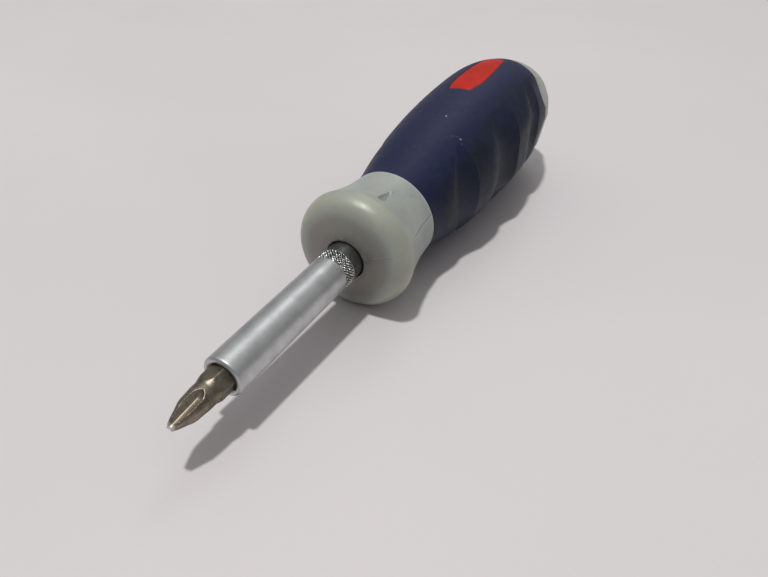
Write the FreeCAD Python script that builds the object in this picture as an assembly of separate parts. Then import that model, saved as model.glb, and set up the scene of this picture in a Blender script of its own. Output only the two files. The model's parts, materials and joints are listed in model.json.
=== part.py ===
import FreeCAD, Part
import math
import os

# Ratcheting bit-holder screwdriver, lying on its side.
# Millimetres.  +X runs along the shaft towards the tip, +Z is up (the inlaid badge is on top).
# The model is built from the front face of the handle (x = 0) and is moved at the end so that
# the origin is the point of the driver bit.

V = FreeCAD.Vector

# ---------------------------------------------------------------- driving dimensions
REACH = 64.0            # front face of the handle to the point of the bit
HANDLE_LEN = 132.5      # front face of the handle to the end of the cap

TUBE_R = 5.15           # bit-holder tube, outside radius
TUBE_MOUTH = 48.6       # where the tube ends, in front of the handle
TUBE_TAIL = -5.9        # rear end of the tube, inside the front bush
KNURL_X0 = 3.9          # finger knurl, rear and front edge
KNURL_X1 = 7.1
KNURL_ROOT_R = 4.95     # floor and crest of the knurl's teeth
KNURL_CREST_R = 5.24
KNURL_RINGS = 5
KNURL_TEETH = 36
SOCKET_AF = 6.44        # quarter-inch hexagon socket
SOCKET_DEPTH = 9.6
BIT_AF = 6.35
BIT_LEN = 25.0
BIT_ROLL = 63.5         # angle of one hexagon corner and one flute about X

COLLAR_HOLE_R = 5.5     # hole in the selector collar round the tube
FLANGE_R = 16.7         # widest part of the selector collar
FLANGE_X = -6.05        # where the collar is widest, behind its front face
FACE_DOME = 1.05        # the collar's front face is slightly domed
FACE_R = 13.0           # outer edge of the front face
WAIST_R = 13.6          # narrow rear edge of the collar
COLLAR_LEN = 24.3
GRIP_X0 = -24.6         # front edge of the rubber grip
SPLIT_X = -112.0        # end cap meets the handle core
TAIL_ARC_R = 26.5       # arc of the grip's rear edge, seen from the side
TAIL_ARC_X = -129.0

HOUSING_R = 11.95       # bearing surface the selector turns on
SELECTOR_BORE_R = 12.0
CAVITY_X0 = -5.8        # ratchet cavity, front and rear
CAVITY_X1 = -11.3
GEAR_TEETH = 24
GEAR_TIP_R = 7.2
GEAR_ROOT_R = 6.35
GEAR_X0 = -6.0
GEAR_X1 = -11.0
PAWL_PIVOT_R = 9.3      # pawl pivot below the shaft axis
PAWL_PIN_R = 0.9
SPINDLE_R = 3.4
SELECTOR_DEG = 20.0     # travel of the selector each side of the lock position

STORE_R = 13.3          # storage bore in the handle
RACK_R = 12.6
RACK_PITCH_R = 8.1      # circle the spare bits stand on
N_SPARE = 6

# grip outline: distance behind the front face, radius
GRIP_PROFILE = [(24.6, 13.50), (28.0, 14.00), (32.0, 14.85), (36.0, 15.75), (40.0, 16.60),
                (45.0, 17.50), (50.0, 18.25), (56.0, 19.00), (62.0, 19.68), (70.0, 20.32),
                (78.0, 20.72), (86.0, 20.95), (94.0, 20.98), (100.0, 20.62), (106.0, 19.60),
                (112.0, 17.85)]
CAP_PROFILE = [(112.2, 17.77), (116.0, 16.35), (120.0, 14.55), (124.0, 12.30), (127.0, 10.15),
               (129.6, 7.50), (131.6, 4.30), (HANDLE_LEN, 0.0)]
COLLAR_FLANK = [(8.0, 16.20), (10.0, 15.66), (12.0, 15.20), (14.0, 14.78), (17.0, 14.24),
                (20.5, 13.88), (24.3, 13.6)]
SCALLOP_X = (38.8, 63.5, 86.8)      # finger hollows in each side of the grip
SCALLOP_DEPTH = (1.3, 1.8, 1.1)
SCALLOP_HALF_W = (7.4, 9.0, 6.9)
SCALLOP_ANGLE = -12.0               # middle of the hollows about X
SCALLOP_REACH = 56.0                # their reach round the grip from there
# long flats on both sides of the grip: angle about X, then distance behind the front face and
# depth below the round
FLATS = [(-42.0, [(46.0, -0.35), (53.0, 0.0), (60.0, 0.5), (66.0, 1.0), (72.0, 1.5), (80.0, 1.88), (88.0, 2.0),
                  (96.0, 2.0), (104.0, 1.75), (111.0, 1.2), (118.0, 0.5), (124.0, -0.3)]),
         (-16.0, [(76.0, -0.3), (82.0, 0.6), (87.0, 1.3), (92.0, 1.9), (98.0, 2.3), (102.0, 2.5), (107.0, 2.15),
                  (112.0, 1.5), (118.0, 0.8), (124.0, -0.2)]),
         (26.0, [(90.0, -0.3), (95.0, 0.45), (100.0, 1.0), (104.0, 1.1), (108.0, 0.95), (112.0, 0.7), (117.0, 0.3),
                 (122.0, -0.3)]),
         (0.0, [(64.0, -0.4), (72.0, 0.2), (80.0, 0.9), (87.0, 1.45), (93.0, 1.6), (99.0, 1.4), (105.0, 1.35),
                (111.0, 1.1), (118.0, 0.6), (125.0, -0.3)])]



# ---------------------------------------------------------------- helpers
def spin(edges):
    face = Part.Face(Part.Wire(edges))
    s = face.revolve(V(0, 0, 0), V(1, 0, 0), 360)
    if s.ShapeType != "Solid":
        s = Part.Solid(s.Shells[0])
    if s.Volume < 0:
        s.reverse()
    return s


def poly(points):
    vs = [V(p[0], p[1], 0) for p in points]
    return [Part.LineSegment(vs[i], vs[(i + 1) % len(vs)]).toShape() for i in range(len(vs))]


def rev(points):
    return spin(poly(points))


def curve(points):
    b = Part.BSplineCurve()
    b.interpolate([V(p[0], p[1], 0) for p in points])
    return b.toShape()


def seg(a, b):
    return Part.LineSegment(V(a[0], a[1], 0), V(b[0], b[1], 0)).toShape()


def seg3(a, b):
    return Part.LineSegment(a, b).toShape()


def cyl(x0, x1, r):
    return Part.makeCylinder(r, abs(x1 - x0), V(min(x0, x1), 0, 0), V(1, 0, 0))


def tube(x0, x1, ro, ri):
    return cyl(x0, x1, ro).cut(cyl(min(x0, x1) - 1, max(x0, x1) + 1, ri))


def prism_x(pts, x0, x1):
    vs = [V(min(x0, x1), p[0], p[1]) for p in pts]
    w = Part.makePolygon(vs + [vs[0]])
    return Part.Face(w).extrude(V(abs(x1 - x0), 0, 0))


def hexagon(af, roll):
    r = af / math.sqrt(3.0)
    return [(r * math.cos(math.radians(roll + 60 * k)), r * math.sin(math.radians(roll + 60 * k)))
            for k in range(6)]


def rod(p, direction, r, length):
    return Part.makeCylinder(r, length, V(*p), V(*direction))


def turned(shape, deg, p=(0, 0, 0)):
    s = shape.copy()
    s.rotate(V(*p), V(1, 0, 0), deg)
    return s


def solid_of(shape):
    if shape.ShapeType == "Compound" and len(shape.Solids) == 1:
        return shape.Solids[0]
    return shape


def fuse(a, *others):
    s = a
    for o in others:
        s = s.fuse(o)
    return solid_of(s.removeSplitter())


def coil(h, r, wire, turns):
    # small compression spring about the Z axis, from z = 0 to h: a closed faceted tube along a helix
    per_turn, sides = 14, 7
    n = int(round(turns * per_turn))
    rings = []
    for i in range(n + 1):
        a = 2 * math.pi * i / per_turn
        z = wire + (h - 2 * wire) * i / n
        c = V(r * math.cos(a), r * math.sin(a), z)
        out = V(math.cos(a), math.sin(a), 0)
        up = V(0, 0, 1)
        rings.append([c.add(V(out).multiply(wire * math.cos(2 * math.pi * k / sides))).add(
            V(up).multiply(wire * math.sin(2 * math.pi * k / sides))) for k in range(sides)])
    faces = []

    def tri(p, q, w):
        faces.append(Part.Face(Part.makePolygon([p, q, w, p])))

    for i in range(n):
        for k in range(sides):
            p, q = rings[i][k], rings[i][(k + 1) % sides]
            u, w = rings[i + 1][k], rings[i + 1][(k + 1) % sides]
            tri(p, q, w)
            tri(p, w, u)
    for ring_ in (rings[0], rings[-1]):
        faces.append(Part.Face(Part.makePolygon(ring_ + [ring_[0]])))
    shell = Part.makeShell(faces)
    shell.sewShape()
    if shell.ShapeType == "Compound":
        shell = shell.Shells[0]
    s = Part.Solid(shell)
    if s.Volume < 0:
        s.reverse()
    return s


nodes = {}

# ---------------------------------------------------------------- grip solids
grip_pts = [(-x, r) for x, r in GRIP_PROFILE]
GRIP_END = grip_pts[-1]
grip_outer = spin([curve(grip_pts),
                   seg(GRIP_END, (GRIP_END[0], 0)),
                   seg((GRIP_END[0], 0), (grip_pts[0][0], 0)),
                   seg((grip_pts[0][0], 0), grip_pts[0])])

# hard core inside the rubber
core_pts = [(-24.6, 11.9), (-30.0, 12.3), (-36.0, 13.3), (-45.0, 14.9), (-56.0, 16.4), (-70.0, 17.4),
            (-86.0, 17.6), (-100.0, 17.2), (-112.0, 16.3)]
core_inner = spin([curve(core_pts),
                   seg(core_pts[-1], (-112.0, 0)),
                   seg((-112.0, 0), (-24.6, 0)),
                   seg((-24.6, 0), core_pts[0])])
tail_tool = Part.makeCylinder(TAIL_ARC_R, 60, V(TAIL_ARC_X, -30, 0), V(0, 1, 0))
tail_ring = grip_outer.common(tail_tool)



def grip_radius(gx):
    outline = GRIP_PROFILE + CAP_PROFILE
    for (xa, ra), (xb, rb) in zip(outline[:-1], outline[1:]):
        if xa <= gx <= xb:
            return ra + (rb - ra) * (gx - xa) / (xb - xa)
    return 0.0


# long flats cut across each side of the grip, sprung along their length
flats = []
for angle, table in FLATS:
    for side in (1, -1):
        line = [V(-x, 0, grip_radius(x) - d) for x, d in table]
        fs = Part.BSplineCurve()
        fs.interpolate(line)
        top_a, top_b = V(line[-1].x, 0, 40), V(line[0].x, 0, 40)
        w = Part.Wire([fs.toShape(), seg3(line[-1], top_a), seg3(top_a, top_b), seg3(top_b, line[0])])
        slab = Part.Face(w).extrude(V(0, 60, 0))
        slab.translate(V(0, -30, 0))
        slab.rotate(V(0, 0, 0), V(1, 0, 0), -side * (90.0 - angle))
        flats.append(slab)

# finger hollows: each is cut by a ring lying outside the grip on the +Y or -Y side
scallops = []
for gx, dep, hw in zip(SCALLOP_X, SCALLOP_DEPTH, SCALLOP_HALF_W):
    r0 = grip_radius(gx)
    skin_r = r0
    for angle, table in FLATS:
        if table[0][0] < gx:
            xs = [q[0] for q in table]
            k = max(i for i in range(len(xs) - 1) if xs[i] <= gx)
            cut_d = table[k][1] + (table[k + 1][1] - table[k][1]) * (gx - xs[k]) / (xs[k + 1] - xs[k])
            skin_r = min(skin_r, (r0 - cut_d) / math.cos(math.radians(SCALLOP_ANGLE - angle)))
    floor_r = skin_r - dep
    a = math.radians(SCALLOP_REACH)
    # circle through the hollow's floor and the round of the grip at either end of the hollow
    e = (r0 ** 2 - floor_r ** 2) / (2 * (floor_r - r0 * math.cos(a)))
    rho = floor_r + e
    rt = (hw * hw + dep * dep) / (2 * dep)
    for side in (1, -1):
        t = Part.makeTorus(rho + rt, rt, V(-gx, 0, -e), V(1, 0, 0))
        box = Part.makeBox(60, 80, 60, V(-gx - 30, -40, 0))
        t = t.common(box)
        t.rotate(V(0, 0, 0), V(1, 0, 0), -side * (90.0 - SCALLOP_ANGLE))
        scallops.append(t)

# badge: flush inlay on top, both ends straight, sides bowed
badge_half = [(-72.5, 3.55), (-77.0, 4.65), (-83.5, 5.0), (-91.0, 4.75), (-98.0, 4.05), (-104.8, 2.9)]
bp = Part.BSplineCurve()
bp.interpolate([V(x, y, 0) for x, y in badge_half])
bm = Part.BSplineCurve()
bm.interpolate([V(x, -y, 0) for x, y in badge_half])
b_edges = [bp.toShape(), seg((-104.8, 2.9), (-104.8, -2.9)), bm.toShape(), seg((-72.5, -3.55), (-72.5, 3.55))]
badge_face = Part.Face(Part.Wire(Part.sortEdges(b_edges)[0]))
badge_face.translate(V(0, 0, 10))
badge_prism = badge_face.extrude(V(0, 0, 20))
under = spin([curve([(x, r - 1.2) for x, r in grip_pts]),
              seg((GRIP_END[0], GRIP_END[1] - 1.2), (GRIP_END[0], 0)),
              seg((GRIP_END[0], 0), (grip_pts[0][0], 0)),
              seg((grip_pts[0][0], 0), (grip_pts[0][0], grip_pts[0][1] - 1.2))])
badge = solid_of(grip_outer.cut(under).common(badge_prism))
nodes["badge_inlay"] = badge

over = grip_outer.cut(core_inner).cut(tail_tool)
for s in flats + scallops:
    over = over.cut(s)
over = over.cut(badge_prism.cut(under))
nodes["grip_overmould"] = solid_of(over)

# ---------------------------------------------------------------- handle core
SPIGOT_R = 9.5
SPIGOT_X1 = -46.0
for s in flats:
    tail_ring = tail_ring.cut(s)
for s in flats:
    core_inner = core_inner.cut(s)
core = core_inner.fuse(tail_ring)
core = core.cut(cyl(-24.0, SPIGOT_X1, SPIGOT_R))
core = core.cut(cyl(-56.0, -113.0, STORE_R))
core = core.cut(cyl(-50.0, -57.0, 4.0))
core = core.cut(rod((-36.0, 0, -13.0), (0, 0, 1), 1.5, 26.0))
nodes["handle_core"] = solid_of(core.removeSplitter())

# ---------------------------------------------------------------- ratchet housing
housing = cyl(-4.0, GRIP_X0, HOUSING_R).fuse(cyl(GRIP_X0, SPIGOT_X1, SPIGOT_R))
housing = housing.cut(cyl(-3.0, CAVITY_X0, 11.0))                    # seat of the cover
housing = housing.cut(cyl(CAVITY_X0 + 0.5, CAVITY_X1, 7.7))          # gear cavity


def sector(r0, r1, half_deg, x0, x1, centre=-90.0):
    n = 24
    pts = []
    for i in range(n + 1):
        t = math.radians(centre - half_deg + 2 * half_deg * i / n)
        pts.append((r1 * math.cos(t), r1 * math.sin(t)))
    for i in range(n + 1):
        t = math.radians(centre + half_deg - 2 * half_deg * i / n)
        pts.append((r0 * math.cos(t), r0 * math.sin(t)))
    return prism_x(pts, x0, x1)


housing = housing.cut(sector(6.5, 11.05, 47.0, CAVITY_X0 + 0.5, CAVITY_X1))
housing = housing.cut(sector(6.5, 13.0, 30.0, CAVITY_X0, CAVITY_X1))
housing = housing.cut(cyl(-11.0, -24.4, 5.5))                        # rear bush and clip space
housing = housing.cut(cyl(-24.0, -28.1, 2.05))                       # thrust ball
housing = housing.cut(rod((-36.0, 0, -13.0), (0, 0, 1), 1.5, 26.0))  # cross pin
housing = housing.cut(tube(-21.0, -21.9, 13.0, 11.3))                # retaining ring groove
housing = housing.cut(rod((-16.2, 0, 7.2), (0, 0, 1), 1.55, 6.0))    # detent bore
housing = housing.cut(rod((-14.5, 0, -PAWL_PIVOT_R), (1, 0, 0), PAWL_PIN_R, 4.0))
screw_at = [90.0, 8.0, 172.0]
for a in screw_at:
    y, z = 9.35 * math.cos(math.radians(a)), 9.35 * math.sin(math.radians(a))
    housing = housing.cut(rod((-10.0, y, z), (1, 0, 0), 0.8, 5.0))
nodes["ratchet_housing"] = solid_of(housing.removeSplitter())

cover = cyl(-4.2, CAVITY_X0, 10.95).cut(cyl(-4.0, -6.0, 6.45))
cover = cover.cut(rod((-6.0, 0, -PAWL_PIVOT_R), (1, 0, 0), PAWL_PIN_R, 3.0))
screws = []
for a in screw_at:
    y, z = 9.35 * math.cos(math.radians(a)), 9.35 * math.sin(math.radians(a))
    cover = cover.cut(rod((-6.0, y, z), (1, 0, 0), 0.9, 3.0))
    cover = cover.cut(Part.makeCone(0.9, 1.55, 0.65, V(-4.85, y, z), V(1, 0, 0)))
    s = rod((-9.5, y, z), (1, 0, 0), 0.8, 4.9).fuse(Part.makeCone(0.8, 1.5, 0.6, V(-4.85, y, z), V(1, 0, 0)))
    s = s.cut(Part.makeBox(0.5, 0.35, 4.0, V(-4.6, y - 0.175, z - 2.0)))
    screws.append(solid_of(s.removeSplitter()))
nodes["housing_cover"] = solid_of(cover)
nodes["cover_screws"] = Part.makeCompound(screws)

nodes["front_bush"] = tube(-3.2, -5.75, 6.45, TUBE_R + 0.05)
nodes["rear_bush"] = tube(-11.3, -20.5, 5.5, SPINDLE_R + 0.05)
nodes["thrust_ball"] = Part.makeSphere(2.0, V(-26.05, 0, 0))
nodes["housing_cross_pin"] = rod((-36.0, 0, -12.9), (0, 0, 1), 1.5, 25.8)
nodes["pawl_pivot_pin"] = rod((-14.4, 0, -PAWL_PIVOT_R), (1, 0, 0), PAWL_PIN_R, 10.1)

ring = tube(-21.1, -21.8, 12.32, 11.35)
ring = ring.cut(Part.makeBox(3, 3.0, 4, V(-23, -1.5, 10)))
nodes["selector_retaining_ring"] = solid_of(ring)

# detent: ball pressed in to the height at which it passes the ridges between the pockets
nodes["detent_ball"] = Part.makeSphere(1.5, V(-16.2, 0, 11.0))
dspr = coil(2.1, 1.05, 0.2, 4)
dspr.translate(V(-16.2, 0, 7.3))
nodes["detent_spring"] = dspr

# ---------------------------------------------------------------- selector collar
face_pts = [(0.0, COLLAR_HOLE_R - 1.0)]
for k in range(1, 5):
    r = COLLAR_HOLE_R + (FACE_R - 0.6 - COLLAR_HOLE_R) * k / 4
    face_pts.append((-FACE_DOME * ((r - COLLAR_HOLE_R) / (FACE_R - COLLAR_HOLE_R)) ** 2, r))
for deg in (24, 38, 52, 66, 79, 90):
    t = math.radians(deg)
    face_pts.append((FLANGE_X + (-FACE_DOME - FLANGE_X) * math.cos(t), FACE_R + (FLANGE_R - FACE_R) * math.sin(t)))
fb = Part.BSplineCurve()
fb.interpolate([V(x, r, 0) for x, r in face_pts] + [V(-x, r, 0) for x, r in COLLAR_FLANK],
               InitialTangent=V(0, 1, 0), FinalTangent=V(-1, -0.03, 0))
collar = spin([fb.toShape(), seg((-COLLAR_LEN, WAIST_R), (-COLLAR_LEN, 0)), seg((-COLLAR_LEN, 0), (0, 0)),
               seg((0, 0), face_pts[0])])
collar = collar.cut(cyl(1, -4, COLLAR_HOLE_R))
collar = collar.cut(cyl(-3.0, -30, SELECTOR_BORE_R))
collar = collar.cut(tube(-20.9, -22.0, 12.5, 11.0))
# shallow track and three pockets for the detent ball
track = sector(11.5, 12.62, 32.0, -14.5, -17.9, 90.0)
collar = collar.cut(track)
for a in (-SELECTOR_DEG, 0.0, SELECTOR_DEG):
    t = math.radians(90 + a)
    collar = collar.cut(Part.makeSphere(1.62, V(-16.2, 11.4 * math.cos(t), 11.4 * math.sin(t))))
# radial bore of the pawl plunger
collar = collar.cut(rod((-8.5, 0, -14.75), (0, 0, 1), 1.25, 4.5))
# index mark pressed into the flank
it = math.radians(63.5)
mark_a = V(-9.2, 16.22 * math.cos(it), 16.22 * math.sin(it))
mark_b = V(-15.2, 14.66 * math.cos(it), 14.66 * math.sin(it))
mark_dir = mark_b.sub(mark_a)
mark = Part.makeCone(0.80, 0.30, mark_dir.Length, mark_a, mark_dir)
mark = mark.fuse(Part.makeSphere(0.80, mark_a)).fuse(Part.makeSphere(0.30, mark_b))
collar = collar.cut(mark)
nodes["selector_collar"] = solid_of(collar)

plunger = rod((-8.5, 0, -13.2), (0, 0, 1), 1.2, 1.7).fuse(Part.makeSphere(1.2, V(-8.5, 0, -11.9)))
plunger = fuse(plunger.common(Part.makeBox(4, 4, 6, V(-10.5, -2, -13.2))))
nodes["pawl_plunger"] = plunger
pspr = coil(1.3, 0.95, 0.2, 2)
pspr.translate(V(-8.5, 0, -14.7))
nodes["plunger_spring"] = pspr

# ---------------------------------------------------------------- pawl
half = [(0.0, -1.42), (1.8, -1.33), (3.55, -1.06), (4.7, -0.30), (5.3, 0.9), (5.3, 2.1)]
n0 = (6.9 * math.sin(math.radians(30)), PAWL_PIVOT_R - 6.9 * math.cos(math.radians(30)))
inn, tan = (-0.5, 0.8660254), (0.8660254, 0.5)


def off(s, t):
    return (n0[0] - inn[0] * s + tan[0] * t, n0[1] - inn[1] * s + tan[1] * t)


nose = [off(0.85, 0.55), off(0.0, 0.10), off(0.0, -0.10), off(0.85, -0.55)]
half_in = [(2.4, 1.70), (0.9, 1.50)]
right = half + nose + half_in
left = [(-u, w) for u, w in reversed(right) if u > 0]
outline = right + left
pawl = prism_x([(u, -PAWL_PIVOT_R + w) for u, w in outline], GEAR_X0 - 0.1, GEAR_X1 + 0.1)
pawl = pawl.cut(rod((-13, 0, -PAWL_PIVOT_R), (1, 0, 0), PAWL_PIN_R + 0.05, 9))
nodes["rocker_pawl"] = solid_of(pawl)

# ---------------------------------------------------------------- spindle train
pts = []
for k in range(GEAR_TEETH):
    c = -90.0 + 360.0 / GEAR_TEETH * (k + 0.5)
    for da, rr in ((-7.5 + 1.5, GEAR_ROOT_R), (-1.6, GEAR_TIP_R), (1.6, GEAR_TIP_R), (7.5 - 1.5, GEAR_ROOT_R)):
        t = math.radians(c + da)
        pts.append((rr * math.cos(t), rr * math.sin(t)))
gear = prism_x(pts, GEAR_X0, GEAR_X1)
dflat = Part.makeBox(20, 10, 2, V(-15, -5, 2.9))
bore = cyl(GEAR_X0 + 1, GEAR_X1 - 1, SPINDLE_R).cut(dflat)
nodes["ratchet_gear"] = solid_of(gear.cut(bore))

spindle = cyl(14.0, -24.0, SPINDLE_R)
spindle = spindle.cut(Part.makeBox(-GEAR_X1 + GEAR_X0, 10, 2, V(GEAR_X1, -5, 2.9)))
spindle = spindle.cut(tube(-21.2, -22.0, 4.5, 2.85))
nodes["spindle"] = solid_of(spindle)
clip = tube(-21.22, -21.95, 4.9, 2.87).cut(Part.makeBox(3, 2.6, 6, V(-23, -1.3, 0)))
nodes["spindle_clip"] = solid_of(clip)

holder = cyl(TUBE_TAIL, TUBE_MOUTH - 0.45, TUBE_R).fuse(
    Part.makeCone(TUBE_R, TUBE_R - 0.4, 0.45, V(TUBE_MOUTH - 0.45, 0, 0), V(1, 0, 0)))
holder = holder.cut(cyl(TUBE_TAIL - 1, 14.0, SPINDLE_R))
socket_floor = TUBE_MOUTH - SOCKET_DEPTH
holder = holder.cut(prism_x(hexagon(SOCKET_AF, BIT_ROLL), socket_floor, TUBE_MOUTH + 1))
holder = holder.cut(Part.makeCone(3.2, 4.05, 0.85, V(TUBE_MOUTH - 0.85, 0, 0), V(1, 0, 0)))
holder = holder.cut(cyl(socket_floor - 4.1, socket_floor + 0.1, 3.0))
holder = holder.cut(tube(43.6, 44.4, 4.35, 3.0))
# finger knurl: turned V rings, then V grooves along the tube, which leaves rows of small pyramids
pitch = (KNURL_X1 - KNURL_X0) / KNURL_RINGS
teeth = [(KNURL_X0, 4.0)]
for k in range(KNURL_RINGS):
    teeth += [(KNURL_X0 + k * pitch, KNURL_ROOT_R), (KNURL_X0 + (k + 0.5) * pitch, KNURL_CREST_R)]
teeth += [(KNURL_X1, KNURL_ROOT_R), (KNURL_X1, 4.0)]
band = rev(teeth)
half = 0.88 * math.pi * KNURL_CREST_R / KNURL_TEETH
for k in range(KNURL_TEETH):
    vee = prism_x([(KNURL_ROOT_R, 0.0), (KNURL_CREST_R + 0.06, -half), (KNURL_CREST_R + 0.06, half)],
                  KNURL_X0 - 0.1, KNURL_X1 + 0.1)
    vee.rotate(V(0, 0, 0), V(1, 0, 0), 360.0 / KNURL_TEETH * k)
    band = band.cut(vee)
holder = holder.cut(tube(KNURL_X0, KNURL_X1, 6.0, 4.2)).fuse(band.common(tube(KNURL_X0, KNURL_X1, 6.0, 4.1)))
nodes["bit_holder_tube"] = solid_of(holder.removeSplitter())
nodes["socket_magnet"] = cyl(socket_floor - 4.05, socket_floor - 0.05, 2.95)
cring = Part.makeTorus(4.02, 0.27, V(44.0, 0, 0), V(1, 0, 0))
cring = cring.cut(Part.makeBox(2, 1.6, 6, V(43, -0.8, 0)))
nodes["bit_retaining_ring"] = solid_of(cring)


# ---------------------------------------------------------------- bits
def shank(x_back, x_front, roll, cone_to):
    # hexagon shank with turned ends and the notch ring of a quarter-inch insert bit
    h = prism_x(hexagon(BIT_AF, roll), x_back, x_front)
    lim = rev([(x_back, 0), (x_back, 3.2), (x_back + 0.5, 3.75), (x_front - (3.75 - cone_to) / 0.65, 3.75),
               (x_front, cone_to), (x_front, 0)])
    return h.common(lim)


def fluted(profile, xs, xe, core0, core1, roll, half_v=46.0, depth=4.0):
    # turned point with four V flutes; core0 and core1 are core radii at the point and at the run-out
    body = rev(profile)
    dx = xe - xs
    dr = core1 - core0
    tilt = math.degrees(math.atan2(dr, dx))
    w = depth * math.tan(math.radians(half_v))
    n = 8
    ap = 0.35
    tri = [(-w, depth), (-ap * 0.7, ap * 0.35), (0, 0), (ap * 0.7, ap * 0.35), (w, depth)]
    length = dx + 1.0
    tool = prism_x(tri, 0, length)
    # rounded run-out at the rear end
    end = Part.makeCone(0.001, w, depth, V(0, 0, 0), V(0, 0, 1))
    tool = tool.fuse(end)
    # local x = 0 is the run-out; tilt so that the floor rises to the rear
    tool.rotate(V(0, 0, 0), V(0, 1, 0), tilt)
    tool.translate(V(xs, 0, core1))
    for k in range(4):
        body = body.cut(turned(tool, roll - 90 + 90 * k))
    return body


def phillips(tip_x, roll, tip_r, neck_r, sh_r):
    back = tip_x - BIT_LEN
    s = shank(back, tip_x - 12.2, roll, neck_r + 0.04)
    prof = [(tip_x - 12.2, 0), (tip_x - 12.2, neck_r + 0.04), (tip_x - 8.0, neck_r - 0.04), (tip_x - 4.8, sh_r),
            (tip_x - 0.4, tip_r), (tip_x, tip_r - 0.2), (tip_x, 0)]
    f_ = fluted(prof, tip_x - 8.6, tip_x, 0.42, 1.75, roll)
    return fuse(s, f_)


def slotted(tip_x, roll, width, thick):
    back = tip_x - BIT_LEN
    s = shank(back, tip_x - 12.2, roll, 2.9)
    body = rev([(tip_x - 12.2, 0), (tip_x - 12.2, 2.9), (tip_x - 9.5, min(2.8, width / 2 + 0.2)),
                (tip_x, min(2.8, width / 2 + 0.2)), (tip_x, 0)])
    a = math.radians(9.0)
    h0 = thick / 2
    h1 = h0 + 9.0 * math.tan(a)
    keep = Part.Face(Part.makePolygon([V(tip_x + 1, -width / 2, -h0 + 0.0), V(tip_x + 1, -width / 2, h0),
                                       V(tip_x - 9.0, -width / 2, h1 + 1.0), V(tip_x - 14, -width / 2, h1 + 4),
                                       V(tip_x - 14, -width / 2, -h1 - 4), V(tip_x - 9.0, -width / 2, -h1 - 1.0),
                                       V(tip_x + 1, -width / 2, -h0)])).extrude(V(0, width, 0))
    return fuse(s, body.common(keep))


def star(tip_x, roll, r_out, r_in, lobes):
    back = tip_x - BIT_LEN
    s = shank(back, tip_x - 12.2, roll, 2.9)
    neck = rev([(tip_x - 12.2, 0), (tip_x - 12.2, 2.9), (tip_x - 10.6, 2.5), (tip_x - 7.5, 2.3),
                (tip_x - 5.6, r_out + 0.05), (tip_x - 5.6, 0)])
    pts = []
    n = lobes * 8
    for i in range(n):
        a = 2 * math.pi * i / n
        r = (r_out + r_in) / 2 + (r_out - r_in) / 2 * math.cos(lobes * a)
        pts.append((r * math.cos(a), r * math.sin(a)))
    tipb = prism_x(pts, tip_x - 5.8, tip_x)
    return fuse(s, neck, tipb)


def hexkey(tip_x, roll, af):
    back = tip_x - BIT_LEN
    s = shank(back, tip_x - 12.2, roll, 2.9)
    neck = rev([(tip_x - 12.2, 0), (tip_x - 12.2, 2.9), (tip_x - 10.6, 2.6), (tip_x - 8.4, 2.5),
                (tip_x - 7.4, af / 2), (tip_x - 7.4, 0)])
    return fuse(s, neck, prism_x(hexagon(af, roll), tip_x - 8.5, tip_x))


bit = phillips(REACH, BIT_ROLL, 1.04, 3.02, 2.86)
nodes["phillips_bit"] = solid_of(bit)

# ---------------------------------------------------------------- end cap and bit rack
cap_pts = [(-x, r) for x, r in CAP_PROFILE]
cb = Part.BSplineCurve()
cb.interpolate([V(p[0], p[1], 0) for p in cap_pts], InitialTangent=V(-1, -0.34, 0), FinalTangent=V(0, -1, 0))
cap_outer = spin([cb.toShape(), seg((-HANDLE_LEN, 0), (-112.2, 0)), seg((-112.2, 0), cap_pts[0])])
for s in flats:
    cap_outer = cap_outer.cut(s)
inner = rev([(-113.5, 0), (-113.5, 11.2), (-117.0, 11.2), (-121.0, 9.9), (-125.0, 7.6), (-128.0, 4.6), (-128.6, 0)])
cap = cap_outer.fuse(cyl(-104.0, -112.2, 13.2))
cap = cap.cut(inner)
boss = cyl(-113.0, -129.0, 3.2)
cap = cap.fuse(boss)
cap = cap.cut(cyl(-103.0, -122.0, 1.25))
cap = cap.cut(tube(-107.2, -108.8, 14.0, 11.85))
nodes["end_cap"] = solid_of(cap.removeSplitter())
oring = Part.makeTorus(12.56, 0.68, V(-108.0, 0, 0), V(1, 0, 0))
nodes["cap_oring"] = oring

RACK_X1 = -104.0
RACK_X0 = -89.0
rack = cyl(RACK_X1, RACK_X0, RACK_R)
spare_angle = [30.0 + 60.0 * k for k in range(N_SPARE)]
for a in spare_angle:
    t = math.radians(a)
    rack = rack.cut(rod((RACK_X1 + 1.5, RACK_PITCH_R * math.cos(t), RACK_PITCH_R * math.sin(t)), (1, 0, 0), 3.78, 20))
rack = rack.cut(cyl(-110, -80, 1.6))
rack = rack.cut(cyl(RACK_X0 - 3.0, RACK_X0 + 1, 2.9))
nodes["bit_rack"] = solid_of(rack)
rs = cyl(-118.0, RACK_X0 - 3.0, 1.2).fuse(cyl(RACK_X0 - 3.0, RACK_X0 - 1.2, 2.7))
rs = rs.cut(Part.makeBox(1.2, 0.7, 4.4, V(RACK_X0 - 2.2, -0.35, -2.2))).cut(
    Part.makeBox(1.2, 4.4, 0.7, V(RACK_X0 - 2.2, -2.2, -0.35)))
nodes["rack_screw"] = solid_of(rs.removeSplitter())

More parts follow.
